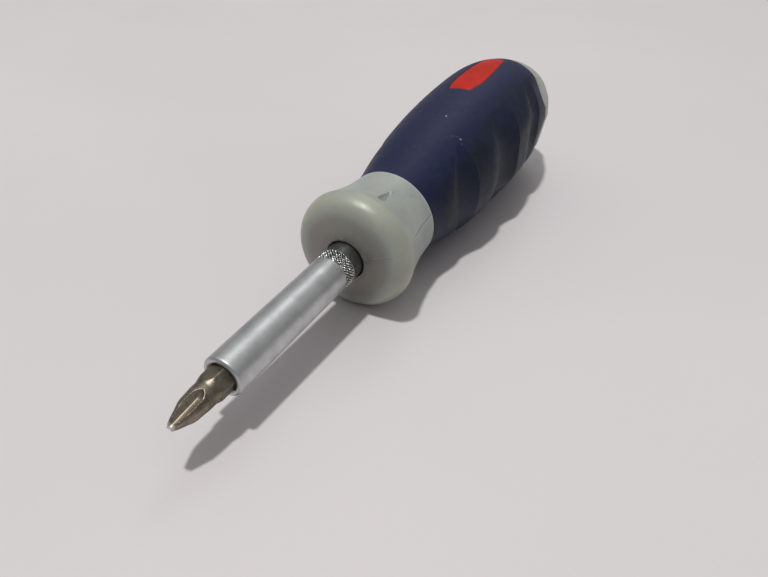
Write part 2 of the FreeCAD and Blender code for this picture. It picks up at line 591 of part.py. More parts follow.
spare_x = RACK_X1 + 1.55 + BIT_LEN      # point of each spare bit, facing forward
kinds = [("spare_bit_phillips_1", phillips(spare_x, 0, 0.5, 2.4, 2.2)),
         ("spare_bit_phillips_3", phillips(spare_x, 0, 1.25, 3.0, 2.95)),
         ("spare_bit_slotted_4", slotted(spare_x, 0, 4.5, 0.6)),
         ("spare_bit_slotted_6", slotted(spare_x, 0, 5.5, 1.0)),
         ("spare_bit_star_20", star(spare_x, 0, 1.92, 1.40, 6)),
         ("spare_bit_hex_4", hexkey(spare_x, 0, 4.0))]
for (name, s), a in zip(kinds, spare_angle):
    t = math.radians(a)
    q = s.copy()
    q.translate(V(0, RACK_PITCH_R * math.cos(t), RACK_PITCH_R * math.sin(t)))
    nodes[name] = solid_of(q)

# ---------------------------------------------------------------- write the parts
if __name__ == "__main__":
    os.makedirs("parts", exist_ok=True)
    for name in sorted(nodes):
        s = nodes[name].copy()
        s.translate(V(-REACH, 0, 0))
        n_sol = len(s.Solids)
        bb = s.BoundBox
        print("%-26s solids %d valid %s vol %10.2f  x %.2f..%.2f r<=%.2f" %
              (name, n_sol, s.isValid(), s.Volume, bb.XMin, bb.XMax, max(abs(bb.YMin), bb.YMax, abs(bb.ZMin), bb.ZMax)))
        s.exportStep("parts/" + name + ".step")
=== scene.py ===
import json
import math
import bpy
import numpy as np
from mathutils import Matrix, Vector


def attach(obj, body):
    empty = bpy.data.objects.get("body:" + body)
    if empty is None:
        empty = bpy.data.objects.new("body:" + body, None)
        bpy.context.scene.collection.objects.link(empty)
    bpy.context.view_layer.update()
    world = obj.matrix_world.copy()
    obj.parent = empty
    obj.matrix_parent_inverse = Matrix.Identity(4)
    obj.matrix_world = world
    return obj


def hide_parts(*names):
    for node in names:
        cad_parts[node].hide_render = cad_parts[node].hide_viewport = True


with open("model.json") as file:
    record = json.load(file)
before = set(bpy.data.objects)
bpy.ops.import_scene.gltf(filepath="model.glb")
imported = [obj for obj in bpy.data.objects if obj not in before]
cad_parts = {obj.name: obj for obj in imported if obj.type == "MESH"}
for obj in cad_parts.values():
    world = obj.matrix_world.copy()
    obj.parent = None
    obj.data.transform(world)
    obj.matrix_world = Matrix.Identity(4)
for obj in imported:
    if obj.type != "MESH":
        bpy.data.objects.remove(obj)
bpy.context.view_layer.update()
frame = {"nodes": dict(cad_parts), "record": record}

# ------------------------------------------------------------------------------------------------
# Sizes are in millimetres, measured from the front face of the handle (x = 0, +x to the tip),
# with the axis of the shaft on y = z = 0.  REACH moves them to the frame's origin, the tip.
# ------------------------------------------------------------------------------------------------
REACH = 64.0
MM = 0.001
ROLL = 63.5                      # corner of the hexagon and one flute, degrees round +X

scene = bpy.context.scene
scene.view_settings.view_transform = "Standard"
scene.view_settings.look = "None"
scene.view_settings.exposure = 0.0
scene.view_settings.gamma = 1.0


# ================================================================================================
# numbers
# ================================================================================================
def spline(xs, ys):
    """Natural cubic through the points, as a function of an array."""
    xs, ys = np.asarray(xs, float), np.asarray(ys, float)
    n = len(xs)
    h = np.diff(xs)
    A = np.zeros((n, n))
    b = np.zeros(n)
    A[0, 0] = A[-1, -1] = 1.0
    for i in range(1, n - 1):
        A[i, i - 1], A[i, i], A[i, i + 1] = h[i - 1], 2 * (h[i - 1] + h[i]), h[i]
        b[i] = 6 * ((ys[i + 1] - ys[i]) / h[i] - (ys[i] - ys[i - 1]) / h[i - 1])
    m = np.linalg.solve(A, b)

    def f(x):
        x = np.clip(np.asarray(x, float), xs[0], xs[-1])
        i = np.clip(np.searchsorted(xs, x) - 1, 0, n - 2)
        t0, t1 = xs[i + 1] - x, x - xs[i]
        return (m[i] * t0 ** 3 + m[i + 1] * t1 ** 3) / (6 * h[i]) \
            + (ys[i] / h[i] - m[i] * h[i] / 6) * t0 + (ys[i + 1] / h[i] - m[i + 1] * h[i] / 6) * t1
    return f


def smooth01(t):
    t = np.clip(t, 0, 1)
    return t * t * (3 - 2 * t)


def ease(n, both=True):
    """n steps from 0 to 1 (0 excluded, 1 included), closer together near the ends."""
    t = np.arange(1, n + 1) / n
    u = (1 - np.cos(np.pi * t)) / 2 if both else t
    return 0.55 * u + 0.45 * t


def arc_pts(cx, cr, rad, a0, a1, n):
    """Points (x, r) on an arc, both ends included, angles in degrees from +x towards +r."""
    a = np.radians(np.linspace(a0, a1, n))
    return [(cx + rad * math.cos(t), cr + rad * math.sin(t)) for t in a]


# ================================================================================================
# meshes
# ================================================================================================
def mesh_object(name, verts, faces, body, material, sharp=35.0):
    me = bpy.data.meshes.new(name)
    v = np.asarray(verts, float).reshape(-1, 3).copy()
    v[:, 0] -= REACH
    v *= MM
    me.vertices.add(len(v))
    me.vertices.foreach_set("co", v.astype(np.float32).ravel())
    sizes = np.array([len(f) for f in faces], np.int32)
    flat = np.concatenate([np.asarray(f, np.int32) for f in faces])
    me.loops.add(len(flat))
    me.loops.foreach_set("vertex_index", flat)
    me.polygons.add(len(sizes))
    starts = np.concatenate([[0], np.cumsum(sizes)[:-1]]).astype(np.int32)
    me.polygons.foreach_set("loop_start", starts)
    me.polygons.foreach_set("loop_total", sizes)
    me.update(calc_edges=True)
    me.validate()
    me.polygons.foreach_set("use_smooth", np.ones(len(me.polygons), bool))
    if sharp is not None:
        me.set_sharp_from_angle(angle=math.radians(sharp))
    me.update()
    ob = bpy.data.objects.new(name, me)
    scene.collection.objects.link(ob)
    me.materials.append(material)
    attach(ob, body)
    return ob


def volume_of(v, faces):
    total = 0.0
    for f in faces:
        a = v[f[0]]
        for i in range(1, len(f) - 1):
            total += np.dot(a, np.cross(v[f[i]], v[f[i + 1]]))
    return total / 6.0


def skin(rows, ring=False, pole_a=None, pole_b=None):
    """Closed surface through rows of points. rows is (R, N, 3), each row a closed loop.
    ring joins the last row to the first; otherwise each end closes on a pole point or a flat face."""
    rows = np.asarray(rows, float)
    R, N = rows.shape[:2]
    verts = list(rows.reshape(-1, 3))
    idx = np.arange(R * N).reshape(R, N)
    a = idx[:-1]
    b = idx[1:]
    quads = np.stack([a, np.roll(a, -1, 1), np.roll(b, -1, 1), b], -1).reshape(-1, 4)
    faces = [tuple(q) for q in quads.tolist()]
    if ring:
        a, b = idx[-1], idx[0]
        faces += [tuple(q) for q in np.stack([a, np.roll(a, -1), np.roll(b, -1), b], -1).tolist()]
    else:
        for row, pole, flip in ((idx[0], pole_a, True), (idx[-1], pole_b, False)):
            if pole is None:
                f = row.tolist()
                faces.append(tuple(reversed(f)) if flip else tuple(f))
                continue
            k = len(verts)
            verts.append(np.asarray(pole, float))
            for i in range(N):
                p, q = int(row[i]), int(row[(i + 1) % N])
                faces.append((q, p, k) if flip else (p, q, k))
    verts = np.array(verts)
    # the sign of the first band tells which way the surface faces
    sample = faces
    if volume_of(verts, sample) < 0:
        faces = [tuple(reversed(f)) for f in faces]
    return verts, faces


def ring_row(x, r, th):
    """One loop of points; x and r are numbers or arrays over the angles th (radians)."""
    x = np.broadcast_to(np.asarray(x, float), th.shape)
    r = np.broadcast_to(np.asarray(r, float), th.shape)
    return np.stack([x, r * np.cos(th), r * np.sin(th)], -1)


def turned(profile, n=192, th=None):
    """Rows of a turned part from (x, r) points."""
    th = np.linspace(0, 2 * np.pi, n, endpoint=False) if th is None else th
    return np.array([ring_row(x, r, th) for x, r in profile])


def dense(points, step):
    """The polyline with extra points so that no piece is longer than step."""
    out = [points[0]]
    for (xa, ra), (xb, rb) in zip(points[:-1], points[1:]):
        n = max(1, int(math.ceil(math.hypot(xb - xa, rb - ra) / step)))
        for i in range(1, n + 1):
            out.append((xa + (xb - xa) * i / n, ra + (rb - ra) * i / n))
    return out


# ================================================================================================
# materials
# ================================================================================================
class Nodes:
    """Short names for building a procedural material on a piece's own coordinates, in millimetres."""

    def __init__(self, name):
        self.mat = bpy.data.materials.new(name)
        self.mat.use_nodes = True
        self.nt = self.mat.node_tree
        self.nt.nodes.clear()
        self.out = self.nt.nodes.new("ShaderNodeOutputMaterial")
        self.bsdf = self.nt.nodes.new("ShaderNodeBsdfPrincipled")
        self.nt.links.new(self.bsdf.outputs["BSDF"], self.out.inputs["Surface"])
        tc = self.nt.nodes.new("ShaderNodeTexCoord")
        sc = self.nt.nodes.new("ShaderNodeVectorMath")
        sc.operation = "SCALE"
        self.nt.links.new(tc.outputs["Object"], sc.inputs[0])
        sc.inputs["Scale"].default_value = 1000.0
        add = self.nt.nodes.new("ShaderNodeVectorMath")
        add.operation = "ADD"
        self.nt.links.new(sc.outputs[0], add.inputs[0])
        add.inputs[1].default_value = (REACH, 0, 0)
        self.P = add.outputs[0]          # the point, x from the front face of the handle

    def link(self, a, b):
        if isinstance(a, (int, float)):
            b.default_value = a
        elif isinstance(a, (tuple, list)):
            b.default_value = tuple(a) if len(a) == len(b.default_value) else tuple(a) + (1.0,)
        else:
            self.nt.links.new(a, b)

    def set(self, **kw):
        names = {"color": "Base Color", "rough": "Roughness", "metal": "Metallic", "normal": "Normal",
                 "spec": "Specular IOR Level", "ior": "IOR", "aniso": "Anisotropic", "coat": "Coat Weight",
                 "coat_rough": "Coat Roughness", "sheen": "Sheen Weight", "sheen_rough": "Sheen Roughness",
                 "sheen_tint": "Sheen Tint", "sub": "Subsurface Weight", "sub_scale": "Subsurface Scale",
                 "tangent": "Tangent", "aniso_rot": "Anisotropic Rotation", "tint": "Specular Tint"}
        for k, v in kw.items():
            self.link(v, self.bsdf.inputs[names[k]])

    def math(self, op, a, b=0.0, c=0.0, clamp=False):
        n = self.nt.nodes.new("ShaderNodeMath")
        n.operation = op
        n.use_clamp = clamp
        self.link(a, n.inputs[0])
        self.link(b, n.inputs[1])
        if len(n.inputs) > 2:
            self.link(c, n.inputs[2])
        return n.outputs[0]

    def xyz(self):
        n = self.nt.nodes.new("ShaderNodeSeparateXYZ")
        self.link(self.P, n.inputs[0])
        return n.outputs[0], n.outputs[1], n.outputs[2]

    def vec(self, x, y, z):
        n = self.nt.nodes.new("ShaderNodeCombineXYZ")
        for i, v in enumerate((x, y, z)):
            self.link(v, n.inputs[i])
        return n.outputs[0]

    def polar(self):
        """Angle round the shaft (radians) and distance from it."""
        x, y, z = self.xyz()
        ang = self.math("ARCTAN2", z, y)
        rr = self.math("SQRT", self.math("ADD", self.math("MULTIPLY", y, y), self.math("MULTIPLY", z, z)))
        return x, ang, rr

    def scaled(self, v, s):
        n = self.nt.nodes.new("ShaderNodeVectorMath")
        n.operation = "MULTIPLY"
        self.link(v, n.inputs[0])
        n.inputs[1].default_value = s if isinstance(s, tuple) else (s, s, s)
        return n.outputs[0]

    def moved(self, v, d):
        n = self.nt.nodes.new("ShaderNodeVectorMath")
        n.operation = "ADD"
        self.link(v, n.inputs[0])
        self.link(d, n.inputs[1])
        return n.outputs[0]

    def noise(self, v, scale, detail=3.0, rough=0.5, distortion=0.0, colour=False):
        n = self.nt.nodes.new("ShaderNodeTexNoise")
        n.noise_dimensions = "3D"
        self.link(v, n.inputs["Vector"])
        n.inputs["Scale"].default_value = scale
        n.inputs["Detail"].default_value = detail
        n.inputs["Roughness"].default_value = rough
        n.inputs["Distortion"].default_value = distortion
        return n.outputs["Color"] if colour else n.outputs["Fac"]

    def voronoi(self, v, scale, feature="F1", rand=1.0):
        n = self.nt.nodes.new("ShaderNodeTexVoronoi")
        n.feature = feature
        self.link(v, n.inputs["Vector"])
        n.inputs["Scale"].default_value = scale
        n.inputs["Randomness"].default_value = rand
        return n

    def remap(self, v, a, b, c=0.0, d=1.0, kind="SMOOTHSTEP"):
        n = self.nt.nodes.new("ShaderNodeMapRange")
        n.interpolation_type = kind
        self.link(v, n.inputs["Value"])
        n.inputs["From Min"].default_value = a
        n.inputs["From Max"].default_value = b
        n.inputs["To Min"].default_value = c
        n.inputs["To Max"].default_value = d
        return n.outputs["Result"]

    def mix(self, f, a, b, kind="MIX"):
        n = self.nt.nodes.new("ShaderNodeMix")
        n.data_type = "RGBA"
        n.blend_type = kind
        n.clamp_factor = True
        self.link(f, n.inputs["Factor"])
        for v, s in ((a, n.inputs[6]), (b, n.inputs[7])):
            if isinstance(v, (tuple, list)):
                s.default_value = tuple(v)[:3] + (1.0,)
            else:
                self.nt.links.new(v, s)
        return n.outputs[2]

    def mixf(self, f, a, b):
        n = self.nt.nodes.new("ShaderNodeMix")
        n.data_type = "FLOAT"
        n.clamp_factor = True
        self.link(f, n.inputs[0])
        self.link(a, n.inputs[2])
        self.link(b, n.inputs[3])
        return n.outputs[0]

    def near(self, p, r0, r1):
        """1 within r0 of the point p (mm, from the handle's front face), 0 beyond r1."""
        n = self.nt.nodes.new("ShaderNodeVectorMath")
        n.operation = "DISTANCE"
        self.link(self.P, n.inputs[0])
        n.inputs[1].default_value = p
        return self.remap(n.outputs["Value"], r0, r1, 1.0, 0.0)

    def bump(self, height, depth_mm, normal=None, strength=1.0):
        n = self.nt.nodes.new("ShaderNodeBump")
        n.inputs["Strength"].default_value = strength
        n.inputs["Distance"].default_value = depth_mm * MM
        self.link(height, n.inputs["Height"])
        if normal is not None:
            self.nt.links.new(normal, n.inputs["Normal"])
        return n.outputs["Normal"]

    def pointiness(self):
        n = self.nt.nodes.new("ShaderNodeNewGeometry")
        return n.outputs["Pointiness"]


def srgb(r, g, b):
    def f(c):
        c = c / 255.0
        return c / 12.92 if c <= 0.04045 else ((c + 0.055) / 1.055) ** 2.4
    return (f(r), f(g), f(b))


def at(x, deg, r):
    """A point on a turned surface, for marks in materials."""
    return (x, r * math.cos(math.radians(deg)), r * math.sin(math.radians(deg)))


def navy_rubber():
    k = Nodes("navy_rubber")
    x, ang, rr = k.polar()
    y_, z_ = k.xyz()[1], k.xyz()[2]
    base = srgb(25, 31, 65)
    painted_side_shade = srgb(13, 24, 37)
    dusty = srgb(46, 51, 76)
    # slow change of tone, painted light: the top of the grip left bluer, as where it reflects the ceiling, and the
    # sides painted darker and greener, as in shade
    side = k.remap(k.math("ABSOLUTE", y_), 8.0, 16.5)
    wander = k.noise(k.P, 0.09, 3, 0.55)
    side = k.math("MULTIPLY", side, k.remap(wander, 0.30, 0.62, 0.55, 1.0))
    c = k.mix(side, base, painted_side_shade)
    cloud = k.noise(k.P, 0.30, 5, 0.6)
    c = k.mix(k.remap(cloud, 0.42, 0.78, 0.0, 0.30), c, dusty)
    # a little grey in the pits of the grain
    grain = k.noise(k.P, 4.2, 4, 0.6)
    c = k.mix(k.remap(grain, 0.55, 0.80, 0.0, 0.25), c, srgb(20, 22, 40))
    # the hollows are painted darker where they turn in: painted shade
    c = k.mix(k.remap(k.pointiness(), 0.501, 0.486, 0.0, 0.72), c, srgb(8, 12, 19))
    # and the ridges between them are painted a little paler: a painted highlight
    ridge_highlight = k.math("MULTIPLY", k.remap(k.pointiness(), 0.505, 0.524, 0.0, 0.60), k.remap(k.math("ABSOLUTE", y_), 9.5, 12.5))
    ridge_highlight = k.math("MULTIPLY", ridge_highlight, k.remap(x, -37.5, -39.5))
    c = k.mix(ridge_highlight, c, srgb(84, 96, 114))
    # dust specks
    vor = k.voronoi(k.P, 0.55)
    speck = k.remap(vor.outputs["Distance"], 0.020, 0.045, 1.0, 0.0)
    keep = k.remap(k.noise(k.P, 0.13, 2, 0.5), 0.56, 0.62)
    speck = k.math("MULTIPLY", speck, keep)
    c = k.mix(k.math("MULTIPLY", speck, 0.55), c, srgb(170, 172, 180))
    marks = 0.0
    for px, pd, pr, r0, r1 in ((-54.8, 78, 18.8, 0.10, 0.42), (-37.4, 83, 15.8, 0.08, 0.30), (-42.1, 51, 16.7, 0.06, 0.28),
                               (-49.0, 52.5, 18.0, 0.10, 0.36)):
        marks = k.math("MAXIMUM", marks, k.near(at(px, pd, pr), r0, r1))
    c = k.mix(k.math("MULTIPLY", marks, 0.75), c, srgb(190, 195, 215))
    # a curved rub near the first finger hollow
    n = k.nt.nodes.new("ShaderNodeVectorMath")
    n.operation = "DISTANCE"
    k.link(k.P, n.inputs[0])
    n.inputs[1].default_value = at(-46.9, 54.5, 17.5)
    ring = k.remap(k.math("ABSOLUTE", k.math("SUBTRACT", n.outputs["Value"], 2.1)), 0.10, 0.55, 1.0, 0.0)
    ring = k.math("MULTIPLY", ring, k.remap(x, -47.2, -48.0))
    ring = k.math("MULTIPLY", ring, k.remap(k.noise(k.P, 1.4, 3, 0.6), 0.40, 0.62))
    c = k.mix(k.math("MULTIPLY", ring, 0.32), c, srgb(100, 106, 140))
    k.set(color=c)
    # scratches, long and faint, in two directions
    s1 = k.noise(k.vec(k.math("MULTIPLY", x, 0.10), k.math("MULTIPLY", ang, 9.0), 3.0), 3.0, 4, 0.7)
    s2 = k.noise(k.vec(k.math("ADD", k.math("MULTIPLY", x, 1.2), k.math("MULTIPLY", ang, 6.0)),
                       k.math("SUBTRACT", k.math("MULTIPLY", ang, 1.2), k.math("MULTIPLY", x, 0.05)), 1.0), 2.0, 3, 0.7)
    rough = k.math("ADD", 0.48, k.math("MULTIPLY", k.math("SUBTRACT", grain, 0.5), 0.22))
    rough = k.math("ADD", rough, k.math("MULTIPLY", k.math("SUBTRACT", cloud, 0.5), 0.28))
    rough = k.math("SUBTRACT", rough, k.math("MULTIPLY", k.remap(k.pointiness(), 0.505, 0.56), 0.06))
    k.set(rough=k.math("MAXIMUM", rough, 0.25), spec=0.22, sheen=0.02, sheen_rough=0.45, sheen_tint=(0.75, 0.78, 0.95, 1.0))
    h = k.math("ADD", k.math("MULTIPLY", grain, 0.6), k.math("MULTIPLY", k.noise(k.P, 11.0, 2, 0.5), 0.4))
    nrm = k.bump(h, 0.030)
    nrm = k.bump(k.math("ADD", k.math("MULTIPLY", k.remap(s1, 0.62, 0.70), -0.7), k.math("MULTIPLY", k.remap(s2, 0.66, 0.74), -0.5)), 0.018, nrm)
    nrm = k.bump(cloud, 0.16, nrm)
    k.set(normal=nrm)
    return k.mat


def grey_plastic():
    k = Nodes("grey_plastic")
    x, ang, rr = k.polar()
    base = srgb(163, 168, 160)
    cold = srgb(150, 158, 154)
    warm = srgb(168, 167, 143)
    cloud = k.noise(k.P, 0.12, 4, 0.55)
    c = k.mix(k.remap(cloud, 0.35, 0.70), base, cold)
    # olive tint round the wide rim of the collar
    rim = k.math("MULTIPLY", k.remap(x, -11.0, -4.0), k.remap(rr, 12.2, 16.2))
    rim = k.math("MULTIPLY", rim, k.remap(k.noise(k.P, 0.16, 3, 0.6), 0.28, 0.62, 0.35, 0.9))
    c = k.mix(k.math("MULTIPLY", rim, 0.60), c, warm)
    # the front face, which the overhead lamp barely reaches, is painted a darker, more neutral grey: painted shade
    face_shade = k.math("MULTIPLY", k.remap(x, -1.6, -0.6), k.remap(rr, 14.5, 11.0))
    c = k.mix(k.math("MULTIPLY", face_shade, 0.80), c, srgb(126, 123, 115))
    # pressed index mark: the recess is coloured darker
    n = k.nt.nodes.new("ShaderNodeVectorMath")
    n.operation = "SUBTRACT"
    k.link(k.P, n.inputs[0])
    n.inputs[1].default_value = at(-10.6, 63.5, 15.5)
    sep = k.nt.nodes.new("ShaderNodeSeparateXYZ")
    k.link(n.outputs[0], sep.inputs[0])
    dt = k.math("ADD", k.math("MULTIPLY", sep.outputs[1], -0.895), k.math("MULTIPLY", sep.outputs[2], 0.446))
    wide = k.remap(sep.outputs[0], -4.2, 0.6, 0.30, 1.15, kind="LINEAR")
    e1 = k.math("DIVIDE", dt, wide)
    e2 = k.math("DIVIDE", k.math("MAXIMUM", sep.outputs[0], 0.0), 1.5)
    e3 = k.math("DIVIDE", k.math("MAXIMUM", k.math("MULTIPLY", sep.outputs[0], -1.0), 0.0), 4.2)
    ee = k.math("ADD", k.math("ADD", k.math("MULTIPLY", e1, e1), k.math("MULTIPLY", e2, e2)), k.math("MULTIPLY", e3, e3))
    dent = k.math("MULTIPLY", k.remap(ee, 1.15, 0.55), k.remap(rr, 12.6, 13.2))
    dent = k.math("MULTIPLY", dent, k.remap(x, -4.0, -6.0))
    c = k.mix(k.math("MULTIPLY", dent, 0.62), c, srgb(98, 106, 97))
    # mould parting line on the flank: a thin olive line with a paler one beside it
    off = k.math("MULTIPLY", k.math("SUBTRACT", ang, math.radians(14.2)), rr)
    off = k.math("ADD", off, k.math("MULTIPLY", k.math("SUBTRACT", k.noise(k.P, 0.5, 2, 0.5), 0.5), 0.25))
    on_flank = k.math("MULTIPLY", k.remap(x, -9.5, -12.5), k.remap(rr, 13.0, 13.3))
    line1 = k.math("MULTIPLY", k.remap(k.math("ABSOLUTE", off), 0.07, 0.26, 1.0, 0.0), on_flank)
    c = k.mix(k.math("MULTIPLY", line1, 0.60), c, srgb(92, 88, 66))
    line2 = k.math("MULTIPLY", k.remap(k.math("ABSOLUTE", k.math("ADD", off, 0.55)), 0.05, 0.30, 1.0, 0.0), on_flank)
    c = k.mix(k.math("MULTIPLY", line2, 0.35), c, srgb(196, 192, 180))
    # handling grime, thin and in patches; round the hole where the tube comes out the face is coloured darker
    fine = k.noise(k.P, 1.1, 6, 0.65)
    c = k.mix(k.remap(fine, 0.55, 0.85, 0.0, 0.22), c, srgb(118, 118, 104))
    hole = k.math("MULTIPLY", k.remap(rr, 8.2, 5.6), k.remap(x, -1.0, -0.3))
    c = k.mix(k.math("MULTIPLY", hole, k.remap(k.noise(k.P, 0.9, 4, 0.6), 0.35, 0.75, 0.05, 0.40)), c, srgb(84, 84, 78))
    smear = k.math("MULTIPLY", k.near(at(0.0, 12.0, 7.2), 0.5, 2.6), k.remap(k.noise(k.P, 1.8, 4, 0.7), 0.40, 0.66))
    c = k.mix(k.math("MULTIPLY", smear, 0.60), c, srgb(62, 62, 56))
    # small dark marks
    dots = 0.0
    for px, pd, pr, r0, r1 in ((0.0, 92, 11.1, 0.05, 0.30), (0.0, 150, 9.0, 0.03, 0.16), (-12.2, 40, 15.5, 0.03, 0.20),
                               (-20.4, 47, 14.0, 0.04, 0.30), (-17.8, 100, 14.3, 0.03, 0.18)):
        dots = k.math("MAXIMUM", dots, k.near(at(px, pd, pr), r0, r1))
    vor = k.voronoi(k.P, 0.42)
    d2 = k.math("MULTIPLY", k.remap(vor.outputs["Distance"], 0.022, 0.038, 1.0, 0.0), k.remap(k.noise(k.P, 0.11, 2, 0.5), 0.54, 0.60))
    dots = k.math("MAXIMUM", dots, k.math("MULTIPLY", d2, 0.6))
    c = k.mix(k.math("MULTIPLY", dots, 0.65), c, srgb(58, 58, 54))
    # rear edge rubbed a little paler
    edge = k.math("MULTIPLY", k.remap(x, -23.2, -24.1), k.remap(x, -24.9, -24.5))
    c = k.mix(k.math("MULTIPLY", edge, 0.35), c, srgb(186, 190, 196))
    k.set(color=c)
    micro = k.noise(k.P, 5.5, 4, 0.6)
    rough = k.math("ADD", 0.385, k.math("MULTIPLY", k.math("SUBTRACT", micro, 0.5), 0.24))
    rough = k.math("ADD", rough, k.math("MULTIPLY", k.math("SUBTRACT", fine, 0.5), 0.16))
    k.set(rough=rough, spec=0.85, sub=0.05, sub_scale=0.0012)
    # fine spark-eroded grain, flow waves and hairline scratches
    h = k.math("ADD", k.math("MULTIPLY", micro, 0.5), k.math("MULTIPLY", k.noise(k.P, 14.0, 2, 0.5), 0.5))
    nrm = k.bump(h, 0.016)
    s1 = k.noise(k.vec(k.math("MULTIPLY", x, 0.35), k.math("MULTIPLY", ang, 14.0), k.math("MULTIPLY", rr, 0.4)), 2.6, 3, 0.7)
    nrm = k.bump(k.remap(s1, 0.66, 0.72, 0.0, -1.0), 0.012, nrm)
    # orange peel of the moulding round the wide rim, which breaks up the shine there
    peel = k.math("MULTIPLY", k.noise(k.P, 2.1, 3, 0.6), k.remap(rr, 14.0, 15.6))
    nrm = k.bump(peel, 0.028, nrm)
    nrm = k.bump(k.noise(k.P, 0.28, 2, 0.5), 0.10, nrm)
    k.set(normal=nrm)
    return k.mat


def red_plastic():
    k = Nodes("red_plastic")
    c1, c2 = srgb(192, 32, 10), srgb(176, 26, 9)
    cloud = k.noise(k.P, 0.20, 4, 0.6)
    c = k.mix(k.remap(cloud, 0.35, 0.68), c1, c2)
    x, y, z = k.xyz()
    brushed = k.noise(k.vec(k.math("MULTIPLY", x, 0.22), k.math("MULTIPLY", y, 3.2), 0.0), 2.2, 5, 0.65)
    c = k.mix(k.remap(brushed, 0.50, 0.80, 0.0, 0.30), c, srgb(150, 34, 24))
    # grime caught along the outline of the inlay
    n = k.noise(k.P, 1.6, 4, 0.6)
    low = k.remap(k.pointiness(), 0.500, 0.470)
    c = k.mix(k.math("MULTIPLY", low, k.remap(n, 0.30, 0.60, 0.1, 0.5)), c, srgb(70, 22, 20))
    k.set(color=c)
    k.set(rough=k.math("ADD", 0.36, k.math("MULTIPLY", k.math("SUBTRACT", brushed, 0.5), 0.35)), spec=0.10, coat=0.02, coat_rough=0.35)
    nrm = k.bump(k.noise(k.P, 6.0, 3, 0.6), 0.014)
    nrm = k.bump(k.remap(brushed, 0.60, 0.74, 0.0, -1.0), 0.010, nrm)
    nrm = k.bump(cloud, 0.08, nrm)
    k.set(normal=nrm)
    return k.mat


def satin_chrome():
    k = Nodes("satin_chrome")
    x, ang, rr = k.polar()
    # turning marks: rings round the tube, broken up as they go round
    rings = k.noise(k.vec(k.math("MULTIPLY", x, 1.0), k.math("MULTIPLY", ang, 0.10), k.math("MULTIPLY", rr, 0.2)), 9.0, 5, 0.65)
    short = k.noise(k.vec(k.math("MULTIPLY", x, 5.0), k.math("MULTIPLY", ang, 1.6), 0.0), 1.6, 4, 0.7)
    cloud = k.noise(k.P, 0.22, 4, 0.6)
    c = k.mix(k.remap(cloud, 0.35, 0.70), srgb(206, 208, 208), srgb(188, 190, 192))
    c = k.mix(k.remap(rings, 0.54, 0.78, 0.0, 0.25), c, srgb(158, 158, 160))
    # on the knurl by the hole: a painted glint on the peaks of the teeth, and the pits painted dark, painted shade with
    # some grime
    band = k.math("MULTIPLY", k.remap(x, 3.5, 3.75), k.remap(x, 7.65, 7.4))
    pit_dark = k.math("MULTIPLY", k.remap(rr, 5.13, 4.97), band)
    pit_dark = k.math("MULTIPLY", pit_dark, k.remap(k.noise(k.P, 1.7, 3, 0.6), 0.30, 0.62, 0.75, 1.0))
    painted_glint = k.math("MULTIPLY", k.remap(rr, 5.00, 5.15), k.math("MULTIPLY", band, k.remap(x, 3.80, 4.15)))
    painted_glint = k.math("MULTIPLY", painted_glint, k.remap(k.noise(k.P, 1.5, 2, 0.6), 0.36, 0.55, 0.30, 1.0))
    c = k.mix(painted_glint, c, srgb(254, 254, 252))
    c = k.mix(k.math("MULTIPLY", pit_dark, 0.90), c, srgb(58, 61, 57))
    # the turned step behind the knurl is painted dark grey-green: a painted reflection of the shaded collar face
    collar_reflection = k.math("MULTIPLY", k.remap(x, 4.0, 3.55), k.remap(rr, 4.0, 4.6))
    streak = k.noise(k.vec(k.math("MULTIPLY", x, 0.9), k.math("MULTIPLY", ang, 0.8), 2.0), 3.4, 4, 0.7)
    c = k.mix(k.math("MULTIPLY", collar_reflection, k.remap(streak, 0.35, 0.70, 0.92, 0.60)), c, srgb(92, 98, 92))
    k.set(color=c, metal=1.0)
    rough = k.math("ADD", 0.40, k.math("MULTIPLY", k.math("SUBTRACT", short, 0.5), 0.20))
    rough = k.math("ADD", rough, k.math("MULTIPLY", k.math("SUBTRACT", cloud, 0.5), 0.14))
    knurl = k.math("MULTIPLY", k.remap(x, 3.6, 3.9), k.remap(x, 7.6, 7.2))
    rough = k.mixf(knurl, rough, 0.30)
    k.set(rough=rough)
    nrm = k.bump(rings, 0.016)
    nrm = k.bump(short, 0.009, nrm)
    nrm = k.bump(k.noise(k.P, 0.8, 3, 0.55), 0.020, nrm)
    k.set(normal=nrm)
    return k.mat


